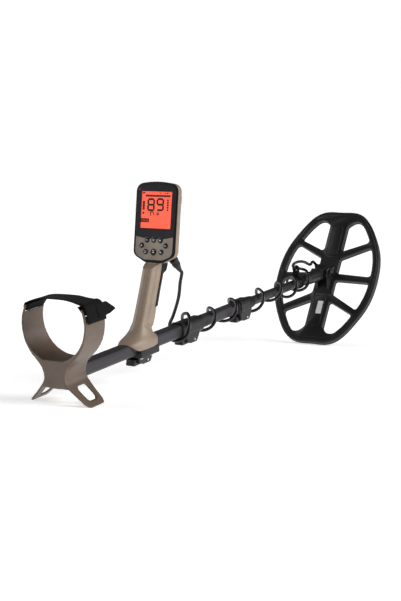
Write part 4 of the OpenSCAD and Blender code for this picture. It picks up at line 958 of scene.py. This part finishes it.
groupAt = {name: onPod(points[name], panel)
           for name in ("tensDigit", "unitsDigit", "signalBar", "modeBlock", "iconColumn")}
signalY, signalZ = groupAt["signalBar"]
modeY, modeZ = groupAt["modeBlock"]
iconY, iconZ = groupAt["iconColumn"]
modes = [(modeY + display["modePitch"] * s, s) for s in (-1, 0, 1)]
groups = {
    "tensDigit": digit(*groupAt["tensDigit"], "abcdefg"),
    "unitsDigit": digit(*groupAt["unitsDigit"], "abcdfg"),
    "signalBar": [bar(signalY + 22.3 - 3.43 * k, signalZ, 3.15, 3.2) for k in range(14)],
    "modeBlock": [bar(y, modeZ, 5.3, 6.4) for y, s in modes],
    "iconColumn": [bar(iconY, iconZ + 3.9 * s, 4.0 - 0.3 * abs(s), 2.9, 0.5) for s in (-2, -1, 0, 1, 2)]}
# small marks: across the top, up the left side, and the angled strokes under the digits
small = [bar(left - 3.9, top - 2.9, 4.6, 2.2), bar(-6.0, top - 2.7, 2.2, 2.2, 0.5),
         bar(-15.7, top - 2.7, 2.2, 2.2, 0.5), bar(-20.0, top - 2.7, 3.0, 2.2, 0.5),
         bar(left - 4.6, low + 24.9, 3.2, 4.2, 0.8)]
small += [bar(left - 4.6, low + 31.3 + 2.4 * k, 4.0 - 0.3 * (k % 2), 2.3) for k in range(6)]
small += [bar(left - y, low + z, w, h) for y, z, w, h in (
    (18.6, 23.6, 1.6, 7.0), (21.5, 26.6, 5, 1.6), (24.4, 23.6, 1.6, 4.2), (32.4, 22.4, 4.6, 1.6),
    (31.0, 24.9, 1.6, 5.4), (34.0, 24.9, 1.6, 3.2))]
inkParts = {name: inked(name, outlines) for name, outlines in groups.items()}
segments = joined("displaySegments", [*inkParts.values(), inked("small", small)])
keep(segments, "displaySegments", "display_ink", "handle")
middles = inked("middles", [bar(y, modeZ + 0.4 * s, 0.9, 2.2) for y, s in modes],
                display["face"] - display["ink"] + 0.02, 0.05)
keep(middles, "modeMiddles", "lit_display", "handle")
for name in groups:
    report(name, inkParts[name])
sensor = prism("sensor", circle(*onPod(points["lightSensor"], window), display["sensorR"], 24), -0.12, 0.3)
keep(sensor, "lightSensor", "sensor_window", "handle", moved=podFrame)
report("lightSensor", sensor)
print("display drawn:", len(segments.polygons), "faces")

# Keys: a steel bead round each on the keypad, and a plain raised symbol on each cap
beads = runTree(ringTree("keyBead", finishes["bead_steel"]),
                pointCloud([(y, z, keypad["beadX"]) for y, z in keypad["places"]],
                           [r + keypad["beadOut"] for r in keyR]), {"Bead": keypad["bead"]})
keep(beads, "keyBeads", "bead_steel", "handle", moved=podFrame @ faceOn)


def arc(r, start, stop, steps):
    turns = [math.radians(start + (stop - start) * k / steps) for k in range(steps + 1)]
    return [(r * math.cos(a), r * math.sin(a)) for a in turns]


def bentStroke(path, w=0.8):
    # an even stroke along a short bent line
    left, right = [], []
    for i, p in enumerate(path):
        a, b = Vector(path[max(i - 1, 0)]), Vector(path[min(i + 1, len(path) - 1)])
        side = Vector((-(b - a).y, (b - a).x)).normalized() * w / 2
        left.append(Vector(p) + side)
        right.append(Vector(p) - side)
    return left + right[::-1]


# minus, open ring, plus, triangle, columns, frame, roof with an arch, steps
symbols = [[bar(0, 0, 4.4, 1.0)],
           [bentStroke(arc(1.9, 20, 340, 18))],
           [bar(0, 0, 4.4, 1.0), bar(0, 0, 1.0, 4.4)],
           [[(-1.9, -1.6), (1.9, -1.6), (0, 2.0)]],
           [bar(s * 1.5, -0.7 + 0.5 * (s + 1), 0.9, 2.2 + s) for s in (-1, 0, 1)],
           [bentStroke([(-1.8, -1.8), (1.8, -1.8), (1.8, 1.8), (-1.8, 1.8), (-1.8, -1.79)])],
           [[(-2.4, -1.7), (2.4, -1.7), (0, 1.4)], bentStroke(arc(3.6, 40, 140, 14))],
           [bar(-1.9 + 1.25 * s, -1.4 + 0.55 * s, 0.8, 1.0 + 1.1 * s) for s in range(4)]]
for i, (shapes, place) in enumerate(zip(symbols, keypad["places"])):
    if i == keypad["big"]:
        place = onPod(points["bigKeySymbol"], nodes["key_%d" % (i + 1)].data)
    size, start, end = keypad["symbol"]
    sized = [[(size * y + place[0], size * z + place[1]) for y, z in shape] for shape in shapes]
    made = joined("keySymbol", [prism("symbol", outline, start, end) for outline in sized])
    keep(made, "keySymbol%d" % (i + 1), "label_film", "key_%d" % (i + 1), moved=podFrame)
    if i == keypad["big"]:
        report("bigKeySymbol", made)
print("keys marked")

# Speaker grille: a small raised ring at each hole's place on the back cover
grille = {"z": 112.5, "lowest": 106.5, "coverAbove": 120, "pitch": 3.1, "hole": 0.95, "bead": 0.22,
          "reach": 8.4}
coverAt = [toPod @ v.co for v in nodes["back_cover"].data.vertices]
coverBack = max(c.x for c in coverAt if c.z > grille["coverAbove"])
rowPitch = grille["pitch"] * 0.866  # each row sits in the gaps of the next
holes = [(y * grille["pitch"] + (row % 2) * grille["pitch"] / 2, grille["z"] + row * rowPitch)
         for row in range(-2, 4) for y in range(-3, 4)]
holes = [(y, z, coverBack) for y, z in holes
         if math.hypot(y, z - grille["z"]) < grille["reach"] and z > grille["lowest"]]
rims = runTree(ringTree("grilleRim", finishes["black_plastic"]),
               pointCloud(holes, [grille["hole"]] * len(holes)), {"Bead": grille["bead"]})
keep(rims, "grilleRims", "black_plastic", "handle", moved=podFrame @ faceOn)

# Levers: ridges for the fingertip, laid on the underside of each lever near its tip
ridges = {"count": 5, "from": 22, "pitch": 2.4, "radius": 0.45, "length": 12.5, "sink": 0.1,
          "pins": {"handle_cam_lever": 227, "upper_cam_lever": 377, "lower_cam_lever": 570}}
ridgeTree = rodTree("leverRidge", finishes["black_plastic"], (90, 0, 0))
for node, pinX in ridges["pins"].items():
    underside = treeOf([nodes[node].data], toShaft)
    starts = [Vector((pinX - ridges["from"] - ridges["pitch"] * k, 0, -80)) for k in range(ridges["count"])]
    hits = [underside.ray_cast(start, Vector((0, 0, 1)))[0] for start in starts]
    seats = pointCloud([(hit.x, 0, hit.z - ridges["sink"]) for hit in hits if hit])
    made = runTree(ridgeTree, seats, {"Radius": ridges["radius"], "Length": ridges["length"]})
    keep(made, node + "Ridges", "black_plastic", bodyOf[node], moved=shaftFrame)
print("levers ridged")

# Locks: a soft seal ring where each front collar ends
ringsOf = {"lowerSeal": ("middle_shaft", 546, 13.2, 6.9, 0.75),
           "upperSeal": ("upper_shaft", 338.5, 13.8, 7.4, 0.6)}
for name, (body, x, halfWidth, corner, bead) in ringsOf.items():
    path = [(y, z, x) for y, z in squareOutline(2 * halfWidth, corner)]
    made = sweptRing(name, path, circle(0, 0, bead, 10))
    keep(made, name, "black_rubber", body, moved=shaftFrame @ faceOn, crease=60)
    if name == "lowerSeal":
        report("lockSeal", made, dressed["lower_cam_collar"].data)
print("locks sealed")

# Coil: two lips round the rim, a raised frame on each half of the spine and a pad under the yoke
coil = {"a": 152.5, "b": 114, "terms": ((4, 0.009), (6, 0.015), (8, 0.010)), "lipSteps": 144,
        "lips": [(4.2, 2.6, 0.9), (11.4, 1.3, 0.45)], "frameWide": 1.6, "frameHigh": 0.8,
        "frames": {"upperPanelFrame": ([(49, -13), (118, -12), (118, 12), (49, 13)], [4, 5, 5, 4]),
                   "lowerPanelFrame": ([(-47, -13), (-47, 13), (-112, 13), (-127, 0), (-112, -13)],
                                       [4, 4, 9, 22, 9])},
        "padBack": -42, "padHalf": 19, "padHigh": 1.1, "padRadii": [6, 5, 5, 6], "padEdge": 0.6,
        "labelHalf": (14.5, 6)}
shellMesh = dressed["coil_upper_shell"].data


def coilRatio(a):
    return 1 - sum(share * math.cos(n * a) for n, share in coil["terms"])


def coilPoint(degrees, inset):
    a = math.radians(degrees)
    return Vector(((coil["a"] - inset) * math.cos(a) / coilRatio(0),
                   (coil["b"] - inset) * math.sin(a) / coilRatio(math.pi / 2), 0)) * coilRatio(a)


lips = [sweptRing("lip", [coilPoint(360 / coil["lipSteps"] * k, inset) for k in range(coil["lipSteps"])],
                  beadSection(wide, high)) for inset, wide, high in coil["lips"]]
keep(joined("rimLip", lips), "rimLip", "black_plastic", "coil", moved=coilFrame, crease=60)
for name, (corners, radii) in coil["frames"].items():
    made = sweptRing(name, [(x, y, 0) for x, y in roundedPath(corners, radii, 6)],
                     beadSection(coil["frameWide"], coil["frameHigh"]))
    keep(made, name, "black_plastic", "coil", moved=coilFrame, crease=60)
padAt = toCoil @ placedOn(points["padEdge"], shellMesh)
padOutline = roundedPath(rectangle(coil["padBack"], -coil["padHalf"], padAt.x, coil["padHalf"]),
                         coil["padRadii"], 6)
pad = prism("centrePad", padOutline, -0.5, coil["padHigh"], "z")
pad.transform(coilFrame)
keep(rounded(pad, coil["padEdge"] * mm, 0.6), "centrePad", "black_plastic", "coil")
print("coil dressed; pad edge at", round(padAt.x, 1))

# Coil label: plain white film with its corners rounded, bare
labelAt = toCoil @ placedOn(points["coilLabel"], shellMesh)
halfX, halfY = coil["labelHalf"]
labelOutline = rectangle(labelAt.x - halfX, labelAt.y - halfY, labelAt.x + halfX, labelAt.y + halfY)
label = prism("label", roundedPath(labelOutline, [1] * 4, 4), 0.02, 0.3, "z")
keep(label, "coilLabelFilm", "label_film", "coil", ["coil_label"], moved=coilFrame)
report("coilLabel", label)

# The lock pins' near ends are points that the CAD's own pieces answer for
endDepth = 0.3
for name, node in {"upperPinEnd": "upper_cam_pin", "handlePinEnd": "handle_cam_pin",
                   "lowerPinEnd": "lower_cam_pin"}.items():
    places = [toShaft @ v.co for v in nodes[node].data.vertices]
    edge = min(p.y for p in places)
    report(name, meshOf("end", [shaftFrame @ p for p in places if abs(p.y - edge) < endDepth],
                        []))
print("fittings placed")

# Floor and light
studio = {"floorHalf": 9, "ambient": 0.12, "backdrop": 1.0,
          # each sun: where it stands, its strength, and the angle in degrees that softens its shadows
          "suns": {"keySun": ((0.35, -1.0, 0.5), 2.7, 40), "rimSun": ((-0.35, 1.0, 0.45), 1.4, 40),
                   "frontSun": ((-1.0, -0.2, 0.6), 0.12, 60)}}
reach = studio["floorHalf"]
floor = meshOf("floor", [(x, y, 0) for x, y in rectangle(-reach, -reach, reach, reach)], [(0, 1, 2, 3)])
floor = keep(floor, "floor", "studio_floor", None)
world = bpy.data.worlds.new("studio")
bpy.context.scene.world = world
world.use_nodes = True
tree = world.node_tree
soft = tree.nodes["Background"]
soft.inputs["Color"].default_value = (1, 1, 1, 1)
soft.inputs["Strength"].default_value = studio["ambient"]
backdrop = addNode(tree, "ShaderNodeBackground", {"Color": (1, 1, 1, 1), "Strength": studio["backdrop"]})
seen = addNode(tree, "ShaderNodeLightPath").outputs["Is Camera Ray"]
mixed = addNode(tree, "ShaderNodeMixShader", {}, {0: seen, 1: soft, 2: backdrop})
wire(tree, tree.nodes["World Output"], {"Surface": mixed})
bpy.context.scene.view_settings.view_transform = "Standard"
for name, (place, strength, spread) in studio["suns"].items():
    sun = linked(name, bpy.data.lights.new(name, "SUN"))
    sun.data.energy, sun.data.angle = strength, math.radians(spread)
    sun.location = place
    sun.rotation_euler = (-Vector(place)).to_track_quat("-Z", "Y").to_euler()
print("stage lit")
